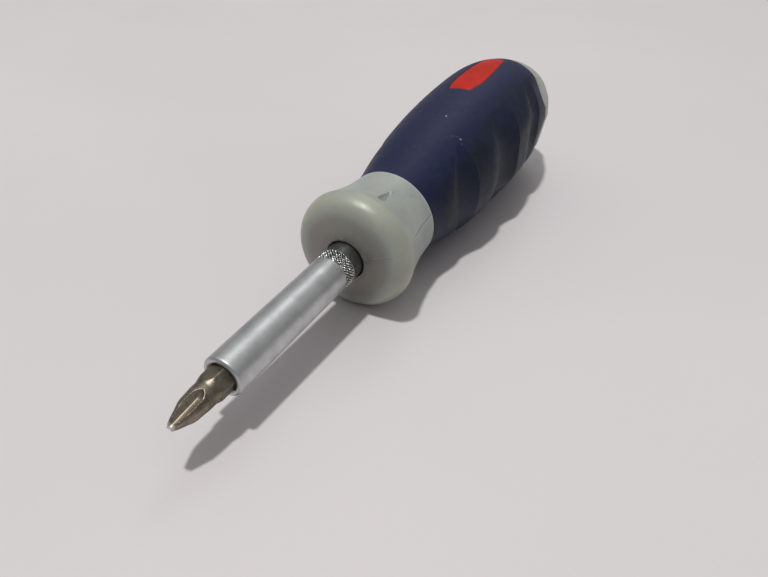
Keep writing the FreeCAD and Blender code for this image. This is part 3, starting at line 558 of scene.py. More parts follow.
def tool_steel(name="tool_steel", body=((136, 129, 115), (106, 100, 88)), rough0=0.43, rust=0.22, pit_dark=1.0):
    k = Nodes(name)
    x, y, z = k.xyz()
    cloud = k.noise(k.P, 0.55, 5, 0.6)
    c = k.mix(k.remap(cloud, 0.35, 0.70), srgb(*body[0]), srgb(*body[1]))
    # drawn and ground marks along the bit
    grind = k.noise(k.vec(k.math("MULTIPLY", x, 0.7), k.math("MULTIPLY", y, 7.0), k.math("MULTIPLY", z, 7.0)), 1.5, 5, 0.7)
    c = k.mix(k.remap(grind, 0.50, 0.78, 0.0, 0.45), c, srgb(84, 76, 64))
    # dark phosphate left in the hollows, and the edges painted pale: a painted highlight along them
    p = k.pointiness()
    c = k.mix(k.math("MULTIPLY", k.remap(p, 0.497, 0.455), 0.70 * pit_dark), c, srgb(52, 44, 36))
    c = k.mix(k.math("MULTIPLY", k.remap(p, 0.515, 0.570), 0.62), c, srgb(206, 202, 190))
    # the flute walls of the working bit are painted paler, as where the lamp lights them: painted light; the nose paler
    # still: a painted highlight
    gx, _, dist = k.polar()
    front = k.math("MULTIPLY", k.remap(gx, 54.5, 56.0), k.remap(dist, 6.0, 5.0))
    skin_r = k.math("MINIMUM", k.math("ADD", 0.84, k.math("MULTIPLY", k.math("SUBTRACT", 64.0, gx), 0.44)), 2.92)
    flute_light = k.math("MULTIPLY", k.remap(k.math("SUBTRACT", skin_r, dist), 0.12, 0.42), front)
    tone = k.remap(k.noise(k.P, 0.9, 4, 0.6), 0.35, 0.65, 0.45, 0.85)
    c = k.mix(k.math("MULTIPLY", flute_light, tone), c, srgb(176, 166, 152))
    nose_highlight = k.math("MULTIPLY", k.remap(gx, 63.0, 63.7), k.remap(dist, 2.0, 1.5))
    c = k.mix(k.math("MULTIPLY", nose_highlight, 0.75), c, srgb(224, 220, 212))
    stain = k.math("MULTIPLY", k.remap(k.noise(k.P, 1.3, 5, 0.65), 0.56, 0.74), rust)
    c = k.mix(stain, c, srgb(98, 66, 40))
    k.set(color=c, metal=0.95)
    rough = k.math("ADD", rough0, k.math("MULTIPLY", k.math("SUBTRACT", grind, 0.5), 0.30))
    rough = k.math("ADD", rough, k.math("MULTIPLY", stain, 0.35))
    k.set(rough=k.math("MAXIMUM", rough, 0.14))
    nrm = k.bump(grind, 0.010)
    nrm = k.bump(k.noise(k.P, 3.5, 4, 0.6), 0.012, nrm)
    k.set(normal=nrm)
    return k.mat


def steel(name, light, dark, rough0, metal=1.0, lines=None, blotch=0.4, pit=0.006, oil=0.0):
    """Machined, drawn or coated metal: cloudy tone, tool marks along one direction, rubbed edges."""
    k = Nodes(name)
    x, ang, rr = k.polar()
    cloud = k.noise(k.P, blotch, 4, 0.6)
    c = k.mix(k.remap(cloud, 0.35, 0.70), srgb(*light), srgb(*dark))
    if lines == "round":
        m = k.noise(k.vec(x, k.math("MULTIPLY", ang, 0.12), k.math("MULTIPLY", rr, 1.0)), 8.0, 4, 0.65)
    elif lines == "along":
        m = k.noise(k.vec(k.math("MULTIPLY", x, 0.12), k.math("MULTIPLY", ang, 8.0), rr), 4.0, 4, 0.65)
    else:
        m = k.noise(k.P, 5.0, 5, 0.65)
    dk = tuple(int(v * 0.62) for v in dark)
    c = k.mix(k.remap(m, 0.52, 0.80, 0.0, 0.40), c, srgb(*dk))
    up = tuple(min(255, int(v * 1.22 + 12)) for v in light)
    c = k.mix(k.math("MULTIPLY", k.remap(k.pointiness(), 0.515, 0.570), 0.6), c, srgb(*up))
    k.set(color=c, metal=metal)
    rough = k.math("ADD", rough0, k.math("MULTIPLY", k.math("SUBTRACT", m, 0.5), 0.22))
    k.set(rough=k.math("MAXIMUM", k.math("ADD", rough, k.math("MULTIPLY", k.math("SUBTRACT", cloud, 0.5), 0.14)), 0.08))
    nrm = k.bump(m, pit)
    nrm = k.bump(k.noise(k.P, 1.2, 3, 0.55), pit * 2.5, nrm)
    k.set(normal=nrm)
    if oil:
        k.set(coat=oil, coat_rough=0.12)
    return k.mat


def moulded(name, c1, c2, rough0, grain=5.0, depth=0.014, spec=0.45, sheen=0.0):
    k = Nodes(name)
    cloud = k.noise(k.P, 0.22, 4, 0.6)
    c = k.mix(k.remap(cloud, 0.32, 0.70), srgb(*c1), srgb(*c2))
    fine = k.noise(k.P, grain, 4, 0.6)
    dk = tuple(int(v * 0.7) for v in c2)
    c = k.mix(k.remap(fine, 0.55, 0.82, 0.0, 0.35), c, srgb(*dk))
    up = tuple(min(255, int(v * 1.15 + 26)) for v in c1)
    c = k.mix(k.math("MULTIPLY", k.remap(k.pointiness(), 0.515, 0.57), 0.45), c, srgb(*up))
    dust = k.remap(k.noise(k.P, 0.9, 5, 0.7), 0.60, 0.80, 0.0, 0.18)
    c = k.mix(dust, c, srgb(128, 124, 116))
    k.set(color=c, spec=spec)
    k.set(rough=k.math("ADD", rough0, k.math("MULTIPLY", k.math("SUBTRACT", fine, 0.5), 0.26)))
    nrm = k.bump(fine, depth)
    nrm = k.bump(k.noise(k.P, 0.5, 2, 0.5), depth * 4, nrm)
    k.set(normal=nrm)
    if sheen:
        k.set(sheen=sheen, sheen_rough=0.5)
    return k.mat


M = {
    "navy_rubber": navy_rubber(),
    "grey_plastic": grey_plastic(),
    "red_plastic": red_plastic(),
    "satin_chrome": satin_chrome(),
    "tool_steel": tool_steel(),
    "hard_steel": steel("hard_steel", (150, 150, 150), (122, 122, 124), 0.30, lines="round", oil=0.15),
    "bearing_steel": steel("bearing_steel", (206, 208, 212), (190, 192, 198), 0.11, pit=0.002, blotch=0.8),
    "spring_steel": steel("spring_steel", (150, 152, 158), (118, 120, 126), 0.26, lines="along", blotch=1.2, pit=0.004),
    "black_steel": steel("black_steel", (58, 58, 62), (38, 38, 42), 0.42, blotch=1.0, pit=0.008, oil=0.1),
    "zinc_casting": steel("zinc_casting", (156, 160, 164), (132, 136, 140), 0.44, blotch=0.5, pit=0.020),
    "bronze": steel("bronze", (186, 138, 84), (154, 106, 62), 0.34, lines="round", blotch=0.7, pit=0.010, oil=0.1),
    "magnet_nickel": steel("magnet_nickel", (196, 190, 178), (176, 170, 158), 0.20, blotch=0.9, pit=0.004),
    "black_nitrile": moulded("black_nitrile", (34, 34, 36), (24, 24, 26), 0.55, grain=4.0, depth=0.010, spec=0.4, sheen=0.05),
    "black_plastic": moulded("black_plastic", (40, 41, 44), (28, 29, 32), 0.42, grain=6.0, depth=0.012),
}

# every CAD node carries the finish of its slot; the pieces below then stand for some of them
slot_of = {}
for entry in frame["record"].get("materials", []):
    for node_name in entry.get("nodes", []) or []:
        slot_of[node_name] = entry.get("slot")
for node_name, node in frame["nodes"].items():
    which = slot_of.get(node_name)
    if which is None:
        which = (node.data.materials[0].name.split(".")[0] if node.data.materials and node.data.materials[0] else "hard_steel")
    if which not in M:
        which = "hard_steel"
    node.data.materials.clear()
    node.data.materials.append(M[which])

# ================================================================================================
# outlines shared by several pieces
# ================================================================================================
GRIP_PROFILE = [(24.6, 13.50), (28.0, 14.00), (32.0, 14.85), (36.0, 15.75), (40.0, 16.60),
                (45.0, 17.50), (50.0, 18.25), (56.0, 19.00), (62.0, 19.68), (70.0, 20.32),
                (78.0, 20.72), (86.0, 20.95), (94.0, 20.98), (100.0, 20.62), (106.0, 19.60),
                (112.0, 17.85)]
grip_r = spline([p[0] for p in GRIP_PROFILE], [p[1] - 0.035 for p in GRIP_PROFILE])       # of distance behind the face
core_r = spline([24.6, 30.0, 36.0, 45.0, 56.0, 70.0, 86.0, 100.0, 112.0],
                [11.9, 12.3, 13.3, 14.9, 16.4, 17.4, 17.6, 17.2, 16.3])
TAIL_X, TAIL_R = -129.0, 26.5
CAP = [(112.2, 17.77), (116.0, 16.35), (120.0, 14.55), (124.0, 12.30), (127.0, 10.15), (129.6, 7.50), (131.6, 4.30), (132.5, 0.0)]
FLATS = [(-42.0, [(46.0, -0.35), (53.0, 0.0), (60.0, 0.5), (66.0, 1.0), (72.0, 1.5), (80.0, 1.88), (88.0, 2.0),
                  (96.0, 2.0), (104.0, 1.75), (111.0, 1.2), (118.0, 0.5), (124.0, -0.3)]),
         (-16.0, [(76.0, -0.3), (82.0, 0.6), (87.0, 1.3), (92.0, 1.9), (98.0, 2.3), (102.0, 2.5), (107.0, 2.15),
                  (112.0, 1.5), (118.0, 0.8), (124.0, -0.2)]),
         (26.0, [(90.0, -0.3), (95.0, 0.45), (100.0, 1.0), (104.0, 1.1), (108.0, 0.95), (112.0, 0.7), (117.0, 0.3),
                 (122.0, -0.3)]),
         (0.0, [(64.0, -0.4), (72.0, 0.2), (80.0, 0.9), (87.0, 1.45), (93.0, 1.6), (99.0, 1.4), (105.0, 1.35),
                (111.0, 1.1), (118.0, 0.6), (125.0, -0.3)])]
_out = GRIP_PROFILE + CAP
FLAT_D = []
for angle_, table_ in FLATS:
    FLAT_D.append((angle_, table_[0][0], table_[-1][0],
                   spline([p[0] for p in table_],
                          [np.interp(p[0], [q[0] for q in _out], [q[1] for q in _out]) - p[1] for p in table_])))


def flatten(x, r, phi_deg, soft=0.30):
    """Takes the round radius r down to the long flats on the sides, with softened edges."""
    x = np.asarray(x, float)
    for angle_, b0, b1, fn in FLAT_D:
        a = np.radians(phi_deg - angle_)
        use = (np.abs(a) < 1.2) & (-x > b0) & (-x < b1)
        d = fn(np.clip(-x, b0, b1)) / np.cos(np.where(np.abs(a) < 1.2, a, 0.0))
        gap = np.clip((d - r) / soft, -40, 40)
        r = np.where(use, r - soft * np.log1p(np.exp(-gap)), r)
    return r


def tail_edge(r, th):
    """x of the grip's rear edge, an arc seen from the side, at radius r and angle th."""
    z = np.clip(np.abs(r * np.sin(th)), 0, TAIL_R * 0.999)
    return TAIL_X + np.sqrt(TAIL_R ** 2 - z ** 2)


# ---------------------------------------------------------------- rubber grip
# Each hollow lies between a front ridge and a rear edge, given against the angle from the side.
FOLD = np.array([-90.0, -60.0, -50.0, -36.0, -18.0, 0.0, 15.0, 30.0, 42.0, 52.0, 60.0, 90.0])
# front ridge, rear edge, depth, how far ahead of the ridge the surface starts to fall
HOLLOWS = [
    (spline(FOLD, [-42.5, -42.4, -41.6, -39.0, -36.2, -35.2, -36.0, -38.4, -42.2, -45.6, -46.6, -47.0]),
     spline(FOLD, [-46.6, -46.9, -47.0, -46.9, -46.5, -46.8, -47.6, -48.1, -48.0, -48.4, -49.0, -49.4]), 1.40, 5.0),
    (spline(FOLD, [-59.5, -59.2, -59.0, -58.4, -57.9, -59.0, -60.4, -61.6, -63.6, -68.0, -71.5, -73.0]),
     spline(FOLD, [-66.4, -66.8, -67.2, -68.0, -70.4, -72.6, -75.0, -76.8, -77.4, -77.4, -77.2, -77.0]), 1.90, 5.5),
    (spline(FOLD, [-83.6, -83.0, -82.2, -81.4, -81.9, -84.6, -86.4, -88.4, -91.0, -94.4, -96.0, -96.6]),
     spline(FOLD, [-88.0, -88.4, -88.8, -89.4, -90.8, -92.9, -94.6, -96.8, -98.2, -99.2, -99.8, -100.0]), 1.20, 4.2),
]
SPAN = (-62.0, 50.0)


def fold_angle(th):
    """Angle from the nearer side, -90 to 90 degrees; both sides of the grip are alike."""
    d = np.degrees(np.arctan2(np.sin(th), np.abs(np.cos(th))))
    return d


N_TH = 336
th_grip = np.linspace(0, 2 * np.pi, N_TH, endpoint=False)
phi = fold_angle(th_grip)
reach_depth = np.where(phi >= 0, 1 - (phi / SPAN[1]) ** 2, 1 - (phi / SPAN[0]) ** 2)
reach_depth = np.clip(reach_depth, 0, 1) ** 0.9

front_x = -24.6
marks_x = []
for fr, re_, dep, lead_ in HOLLOWS:
    marks_x += [fr(phi), re_(phi)]
rear_x = tail_edge(grip_r(-(TAIL_X + TAIL_R) + 4.0) * np.ones_like(th_grip), th_grip)
for _ in range(4):
    rear_x = tail_edge(grip_r(-rear_x), th_grip)

EDGE = 0.38
seg_steps = [30, 34, 28, 40, 26, 34, 16]
stops = [np.full(N_TH, front_x - EDGE)] + marks_x + [rear_x + EDGE]
rows_x = [stops[0]]
rows_u = [(-1, 0.0)]
for k_, n_ in enumerate(seg_steps):
    for u in ease(n_):
        rows_x.append(stops[k_] + (stops[k_ + 1] - stops[k_]) * u)
        rows_u.append((k_, u))


RIDGE = 0.36         # share of the depth already reached at the ridge
LOW = 0.30           # where the hollow is deepest, from the ridge to the rear edge


def grip_surface(x, k_, u):
    r = flatten(x, grip_r(-x), phi)
    if k_ in (1, 3, 5):
        dep = HOLLOWS[k_ // 2][2]
        if u < LOW:
            g = RIDGE + (1 - RIDGE) * (1 - (1 - u / LOW) ** 1.8)
        else:
            g = 1 - ((u - LOW) / (1 - LOW)) ** 1.8
        r = r - dep * reach_depth * g
    if k_ in (0, 2, 4):
        fr, dep, lead = HOLLOWS[k_ // 2][0](phi), HOLLOWS[k_ // 2][2], HOLLOWS[k_ // 2][3]
        t = np.clip(1 - (x - fr) / lead, 0, 1)
        r = r - dep * reach_depth * RIDGE * t * t
    return r


outer = []
for x_, (k_, u) in zip(rows_x, rows_u):
    outer.append((x_, grip_surface(x_, k_, u)))

rows = []
# front edge, rounded over, then the way back inside
r_in_front = float(core_r(24.6)) + 0.02
r0 = outer[0][1]
for rr_ in np.linspace(r_in_front, r0.mean() - EDGE * 1.15, 5)[:-1]:
    rows.append(ring_row(front_x, rr_, th_grip))
for a in np.radians(np.linspace(0, 82, 6)):
    rows.append(ring_row(front_x - EDGE * (1 - math.cos(a)), r0 - EDGE * 1.02 + EDGE * math.sin(a), th_grip))
for x_, r_ in outer:
    rows.append(ring_row(x_, r_, th_grip))
r1 = outer[-1][1]
for a in np.radians(np.linspace(14, 90, 6)):
    rr_ = r1 - EDGE + EDGE * math.cos(a)
    rows.append(ring_row(tail_edge(rr_, th_grip) + EDGE * (1 - math.sin(a)), rr_, th_grip))
x_wall = -tail_edge(17.0 * np.ones_like(th_grip), th_grip)
r_in_rear = core_r(x_wall) + 0.02
for t in np.linspace(0, 1, 5)[1:]:
    rr_ = (r1 - EDGE) * (1 - t) + r_in_rear * t
    rows.append(ring_row(tail_edge(rr_, th_grip), rr_, th_grip))
x_start = tail_edge(r_in_rear, th_grip)
for t in np.linspace(0, 1, 22)[1:-1]:
    x_ = x_start * (1 - t) + front_x * t
    rows.append(ring_row(x_, core_r(-x_) + 0.02, th_grip))
v, f = skin(rows, ring=True)
grip = mesh_object("grip_rubber", v, f, "handle", M["navy_rubber"], sharp=None)

# pocket for the badge
BADGE = [(-72.5, 3.55), (-77.0, 4.65), (-83.5, 5.0), (-91.0, 4.75), (-98.0, 4.05), (-104.8, 2.9)]
badge_w = spline([-b[0] for b in BADGE], [b[1] for b in BADGE])


def badge_outline(grow, n=60):
    xs = np.linspace(72.5, 104.8, n)
    side = [(-x, float(badge_w(x)) + grow) for x in xs]
    side[0] = (side[0][0] + grow, side[0][1])
    side[-1] = (side[-1][0] - grow, side[-1][1])
    return side + [(x, -y) for x, y in reversed(side)]


def cut_pocket(target, outline, z_low, z_high, depth):
    """Sinks a pocket with this outline into target; its floor follows the grip's surface."""
    n = len(outline)
    pts = np.array(outline)
    verts, faces = [], []
    half = n // 2
    cols = 9
    # floor and lid as grids across the outline, walls round it
    for level in (0, 1):
        for i in range(half):
            xl, yl = pts[i]
            for j in range(cols):
                y = yl * (1 - 2 * j / (cols - 1))
                r = float(grip_r(-min(xl, -24.6)))
                z = math.sqrt(max(r * r - y * y, 1.0)) - depth if level == 0 else z_high
                verts.append((xl, y, z))
    idx = lambda lv, i, j: lv * half * cols + i * cols + j
    for i in range(half - 1):
        for j in range(cols - 1):
            faces.append((idx(0, i, j), idx(0, i, j + 1), idx(0, i + 1, j + 1), idx(0, i + 1, j)))
            faces.append((idx(1, i, j), idx(1, i + 1, j), idx(1, i + 1, j + 1), idx(1, i, j + 1)))
    for i in range(half - 1):
        faces.append((idx(0, i, 0), idx(0, i + 1, 0), idx(1, i + 1, 0), idx(1, i, 0)))
        faces.append((idx(0, i + 1, cols - 1), idx(0, i, cols - 1), idx(1, i, cols - 1), idx(1, i + 1, cols - 1)))
    for j in range(cols - 1):
        faces.append((idx(0, 0, j + 1), idx(0, 0, j), idx(1, 0, j), idx(1, 0, j + 1)))
        faces.append((idx(0, half - 1, j), idx(0, half - 1, j + 1), idx(1, half - 1, j + 1), idx(1, half - 1, j)))
    verts = np.array(verts)
    if volume_of(verts, faces) < 0:
        faces = [tuple(reversed(q)) for q in faces]
    me = bpy.data.meshes.new("cutter")
    vv = verts.copy()
    vv[:, 0] -= REACH
    me.from_pydata((vv * MM).tolist(), [], faces)
    me.update()
    ob = bpy.data.objects.new("cutter", me)
    scene.collection.objects.link(ob)
    m = target.modifiers.new("pocket", "BOOLEAN")
    m.operation = "DIFFERENCE"
    m.solver = "EXACT"
    m.object = ob
    dg = bpy.context.evaluated_depsgraph_get()
    done = bpy.data.meshes.new_from_object(target.evaluated_get(dg))
    target.modifiers.clear()
    old = target.data
    name = old.name
    target.data = done
    bpy.data.meshes.remove(old)
    done.name = name
    bpy.data.objects.remove(ob)
    bpy.data.meshes.remove(me)


cut_pocket(grip, badge_outline(0.06), 0, 26.0, 1.18)
grip.data.polygons.foreach_set("use_smooth", np.ones(len(grip.data.polygons), bool))
grip.data.set_sharp_from_angle(angle=math.radians(48))
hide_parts("grip_overmould")

# ---------------------------------------------------------------- badge, bare
NB_U, NB_V = 84, 30
us = np.concatenate([[0, 0.0035, 0.008, 0.013], np.linspace(0.02, 0.98, NB_U - 8), [0.987, 0.992, 0.9965, 1]])
vs_half = np.array([0, 0.018, 0.04, 0.065, 0.095, 0.13, 0.19, 0.27, 0.36, 0.46, 0.56, 0.66, 0.76, 0.86, 0.95])
vs = np.concatenate([vs_half / 2 * 1.0, 1 - vs_half[::-1] / 2])
vs = np.unique(np.round(vs, 6))
top, bottom = [], []
for u in us:
    x = -72.5 + (-104.8 + 72.5) * u
    w = float(badge_w(-x)) - 0.03
    line_t, line_b = [], []
    for v_ in vs:
        y = w * (1 - 2 * v_)
        r = float(grip_r(-x))
        z = math.sqrt(r * r - y * y)
        d_edge = min(w - abs(y), (x + 104.8), (-72.5 - x))
        d_edge = max(d_edge, 0.0)
        R_E = 0.30
        drop = R_E - math.sqrt(max(R_E ** 2 - max(R_E - d_edge, 0.0) ** 2, 0.0))
        line_t.append((x, y, z - 0.02 - drop))
        line_b.append((x, y, z - 1.16))
    top.append(line_t)
    bottom.append(line_b)
nu, nv = len(us), len(vs)
bv = np.array(top + bottom).reshape(-1, 3)
bi = lambda lv, i, j: lv * nu * nv + i * nv + j
bf = []
for i in range(nu - 1):
    for j in range(nv - 1):
        bf.append((bi(0, i, j), bi(0, i + 1, j), bi(0, i + 1, j + 1), bi(0, i, j + 1)))
        bf.append((bi(1, i, j), bi(1, i, j + 1), bi(1, i + 1, j + 1), bi(1, i + 1, j)))
for i in range(nu - 1):
    bf.append((bi(0, i, 0), bi(1, i, 0), bi(1, i + 1, 0), bi(0, i + 1, 0)))
    bf.append((bi(0, i, nv - 1), bi(0, i + 1, nv - 1), bi(1, i + 1, nv - 1), bi(1, i, nv - 1)))
for j in range(nv - 1):
    bf.append((bi(0, 0, j), bi(0, 0, j + 1), bi(1, 0, j + 1), bi(1, 0, j)))
    bf.append((bi(0, nu - 1, j), bi(1, nu - 1, j), bi(1, nu - 1, j + 1), bi(0, nu - 1, j + 1)))
if volume_of(bv, bf) < 0:
    bf = [tuple(reversed(q)) for q in bf]
badge = mesh_object("badge_plate", bv, bf, "handle", M["red_plastic"], sharp=40)
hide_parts("badge_inlay")

# ---------------------------------------------------------------- selector collar
FLANK = [(8.0, 16.20), (10.0, 15.66), (12.0, 15.20), (14.0, 14.78), (17.0, 14.24), (20.5, 13.88), (24.3, 13.6)]
HOLE_R, FACE_R, DOME, WIDE_X, WIDE_R = 5.5, 13.0, 1.05, -6.05, 16.7
col_pts = [(0.0, HOLE_R - 1.0)]
for k_ in range(1, 5):
    r_ = HOLE_R + (FACE_R - 0.6 - HOLE_R) * k_ / 4
    col_pts.append((-DOME * ((r_ - HOLE_R) / (FACE_R - HOLE_R)) ** 2, r_))
for deg_ in (24, 38, 52, 66, 79, 90):
    t_ = math.radians(deg_)
    col_pts.append((WIDE_X + (-DOME - WIDE_X) * math.cos(t_), FACE_R + (WIDE_R - FACE_R) * math.sin(t_)))
col_pts += [(-x_, r_) for x_, r_ in FLANK] + [(-26.5, 13.5)]
_s = np.concatenate([[0], np.cumsum([math.dist(p, q) for p, q in zip(col_pts[:-1], col_pts[1:])])])
col_x = spline(_s, [p[0] for p in col_pts])
col_r = spline(_s, [p[1] for p in col_pts])
COL_S = _s


def fine_angles(n, centres):
    """Angles round the axis with extra ones near each (centre, half width, step) in degrees."""
    base = np.arange(0, 360, 360.0 / n)
    extra = []
    for c, hw, st in centres:
        base = base[np.abs((base - c + 180) % 360 - 180) > hw]
        extra.append((c + np.arange(-hw, hw + 1e-6, st)) % 360)
    return np.radians(np.unique(np.round(np.concatenate([base] + extra), 5)))


th_col = fine_angles(240, [(63.5, 7.0, 0.45), (13.3, 1.6, 0.12), (193.3, 1.6, 0.16), (90.7, 5.0, 0.5), (20.0, 4.0, 0.4)])
deg_col = np.degrees(th_col)


def dang(c):
    return (deg_col - c + 180) % 360 - 180


prof = []      # (x, r, nx, nr)
prof += [(-2.6, 5.5, 0, -1), (-1.6, 5.5, 0, -1), (-0.7, 5.5, 0, -1), (-0.30, 5.5, 0, -1)]
for a in np.radians(np.linspace(180, 90, 6))[1:]:
    prof.append((-0.25 + 0.25 * math.sin(a) * 1.0, 5.75 + 0.25 * math.cos(a), math.sin(a), math.cos(a)))
prof[-1] = (-0.002, 5.75, 1.0, 0.0)
s_end = COL_S[-2] - 0.26
steps, s_ = [], 1.5
while s_ < s_end:
    steps.append(s_)
    x_now = float(col_x(s_))
    s_ += 0.30 if x_now > -1.2 else (0.24 if x_now > -7.6 else (0.19 if x_now > -16.4 else 0.36))
for s_ in steps + [s_end]:
    tx, tr = float(col_x(s_ + 0.05) - col_x(s_ - 0.05)), float(col_r(s_ + 0.05) - col_r(s_ - 0.05))
    l_ = math.hypot(tx, tr)
    prof.append((float(col_x(s_)), float(col_r(s_)), tr / l_, -tx / l_))
for a in np.radians(np.linspace(80, 0, 5)):
    prof.append((-24.3 + 0.22 * (1 - math.cos(math.pi / 2 - a)), 13.60 - 0.22 + 0.22 * math.sin(a), -math.cos(a), math.sin(a)))
prof += [(-24.3, 12.9, -1, 0), (-24.3, 12.2, -1, 0), (-24.05, 12.0, 0, -1)]
prof += [(-23.2, 12.0, 0, -1), (-22.0, 12.0, 0, -1), (-22.0, 12.5, 0, -1), (-20.9, 12.5, 0, -1), (-20.9, 12.0, 0, -1)]
prof += [(x_, 12.0, 0, -1) for x_ in (-18.0, -15.0, -12.0, -9.0, -6.0, -4.0)]
prof += [(-3.0, 12.0, 0, -1), (-3.0, 10.5, -1, 0), (-3.0, 8.5, -1, 0), (-3.0, 6.5, -1, 0), (-3.0, 5.5, 0, -1)]

rows = []
for x_, r_, nx_, nr_ in prof:
    d = np.zeros_like(th_col)
    on_outside = (x_ > -24.2 and r_ > 5.6 and not (r_ <= 12.5 and x_ < -0.02 and nr_ <= 0))
    if on_outside:
        # parting line: a hair of flash, with the two halves a trace out of line on the flank
        for c, g in ((13.3, 1.0), (193.3, 0.8)):
            q = dang(c) * math.pi / 180 * r_
            wig = 0.5 + 0.5 * math.sin(x_ * 1.7 + r_ * 2.3)
            d += g * (0.045 + 0.035 * wig) * np.exp(-(q / 0.075) ** 2)
            d += g * 0.022 * (1 / (1 + np.exp(-np.clip(q / 0.05, -40, 40))) - 0.5) * np.exp(-(q / 1.4) ** 2)
    if x_ < -5 and nr_ > 0.8:
        # index mark: a pressed teardrop, deep and blunt at the front, running out to a raised dot
        q = dang(63.5) * math.pi / 180 * r_
        t = (x_ + 9.9) / (-14.6 + 9.9)
        half = np.interp(t, [-0.3, 0.0, 0.25, 1.0], [1.15, 1.15, 1.05, 0.35])
        along_ = np.where(t < 0, (x_ + 9.9) / 1.1, np.where(t > 1, (x_ + 14.6) / 0.5, 0.0))
        e2 = (np.abs(q) / half) ** 2 + along_ ** 2
        bowl = np.clip(1 - e2, 0, 1) ** 0.75
        d -= 0.50 * (1 - 0.60 * np.clip(t, 0, 1)) * bowl * (1 + 0.25 * np.clip(q / half, -1, 1))
        dd = np.hypot(q, x_ + 15.5)
        d += 0.24 * np.clip(1 - (dd / 0.62) ** 2, 0, 1)
    if nx_ > 0.5 and r_ < 7.2:
        # burrs raised where the tube has rubbed the hole
        for c, w, hgt in ((90.7, 2.6, 0.20), (20.0, 2.0, 0.16), (152.0, 3.0, 0.08)):
            d += hgt * np.exp(-(dang(c) / w) ** 2) * math.exp(-((r_ - 6.0) / 0.45) ** 2)
    if -13.8 < x_ < -6.3 and nr_ > 0.8:
        # a scuff that raised a low ridge over the shoulder
        cx = np.interp(x_, [-13.1, -9.8, -6.8], [86.0, 96.0, 104.0])
        q = dang(cx) * math.pi / 180 * r_
        d += (0.06 + 0.03 * math.sin(x_ * 4.0)) * np.exp(-(q / 0.35) ** 2) * math.exp(-((x_ + 9.8) / 3.0) ** 4)
    rows.append(ring_row(x_ + nx_ * d, r_ + nr_ * d, th_col))
v, f = skin(rows, ring=True)
collar = mesh_object("selector_collar_shell", v, f, "selector", M["grey_plastic"], sharp=50)
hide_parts("selector_collar")

# ---------------------------------------------------------------- hexagon helpers
def hex_r(th, af, corner_r, roll=ROLL, soft=0.0):
    """Radius of a hexagon with its corners cut back to corner_r."""
    a = (np.degrees(th) - roll - 30.0) % 60.0
    a = np.radians(np.where(a > 30, a - 60, a))
    r = (af / 2) / np.cos(a)
    if soft > 0:
        return -soft * np.log(np.exp(-r / soft) + np.exp(-corner_r / soft))
    return np.minimum(r, corner_r)


# ---------------------------------------------------------------- bit-holder tube
N_T = 600
th_t = np.radians(ROLL) + np.linspace(0, 2 * np.pi, N_T, endpoint=False)
SOCK = 6.44
rows = []


def add_t(x_, r_):
    rows.append(ring_row(x_, r_, th_t))


hx = hex_r(th_t, SOCK, 3.66)
for r_ in (1.0, 2.0, 2.95):
    add_t(34.95, r_)
add_t(35.0, 3.0)
add_t(38.9, 3.0)
add_t(39.0, np.minimum(hx, 3.02))
add_t(39.0, hx)
for x_ in (40.0, 41.5, 43.0, 43.58):
    add_t(x_, hx)
add_t(43.62, np.maximum(hx, 4.35))
add_t(44.38, np.maximum(hx, 4.35))
for x_ in (44.42, 45.5, 46.6, 47.3):
    add_t(x_, hx)
for x_ in np.linspace(47.55, 48.52, 11):
    add_t(x_, np.maximum(hx, 3.16 + (x_ - 47.72) * 0.89 / 0.88))
for a in np.radians(np.linspace(200, 90, 5)):
    add_t(48.52 + 0.08 * math.sin(a) if a < math.pi else 48.52, 4.05 + 0.08 + 0.08 * math.cos(a))
add_t(48.60, 4.32)
add_t(48.60, 4.55)
for x_, r_ in ((48.57, 4.66), (48.50, 4.76), (48.30, 4.97), (48.14, 5.10), (48.02, 5.14), (47.85, 5.15)):
    add_t(x_, r_)
for x_ in np.linspace(47.0, 9.0, 39):
    add_t(x_, 5.15)
for x_ in (8.4, 8.0, 7.8):
    add_t(x_, 5.15)
# diamond knurl between two turned edges, each tooth a little different from the next
K0, K1 = 3.70, 7.50
n_teeth = 38
phase = (th_t - math.radians(ROLL)) * n_teeth / (2 * np.pi)
pitch_x = 0.92
rng = np.random.default_rng(7)
tooth_h = rng.uniform(0.55, 1.15, (n_teeth * 2, 16))
tooth_lean = rng.uniform(-0.9, 0.9, (n_teeth * 2, 16, 2))
for x_ in np.linspace(K1, K0, 56):
    edge = smooth01((x_ - K0) / 0.16) * smooth01((K1 - x_) / 0.16)
    ua = phase + (x_ - K0) / pitch_x
    ub = phase - (x_ - K0) / pitch_x
    ta = (ua % 1.0) - 0.5
    tb = (ub % 1.0) - 0.5
    ia = np.floor(ua).astype(int) % (n_teeth * 2)
    ib = (np.floor(ub).astype(int) + 40) % 16
    hgt = tooth_h[ia, ib]
    lean = tooth_lean[ia, ib, 0] * ta + tooth_lean[ia, ib, 1] * tb
    h = np.clip((1 - 2 * np.maximum(np.abs(ta), np.abs(tb))) * 1.75, 0, 1.0)
    add_t(x_, 5.15 + edge * (-0.30 + 0.40 * np.clip(h * (hgt * 0.80 + 0.95 * lean * h), 0, 1.05)))
for x_ in (3.62, 3.5):
    add_t(x_, 5.15)
# the turned step behind the knurl
for x_, r_ in ((3.3, 5.15), (2.6, 5.15), (1.8, 5.15), (1.0, 5.15), (0.2, 5.15), (-1.0, 5.15), (-2.5, 5.15), (-4.2, 5.15), (-5.6, 5.15), (-5.9, 4.9)):
    add_t(x_, r_)
for x_, r_ in ((-5.9, 4.2), (-5.9, 3.45), (-5.7, 3.4), (2.0, 3.4), (8.0, 3.4), (14.0, 3.4), (14.0, 2.2), (14.0, 1.0)):
    add_t(x_, r_)
v, f = skin(rows, pole_a=(34.95, 0, 0), pole_b=(14.0, 0, 0))
tube = mesh_object("bit_holder_sleeve", v, f, "spindle", M["satin_chrome"], sharp=38)
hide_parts("bit_holder_tube")


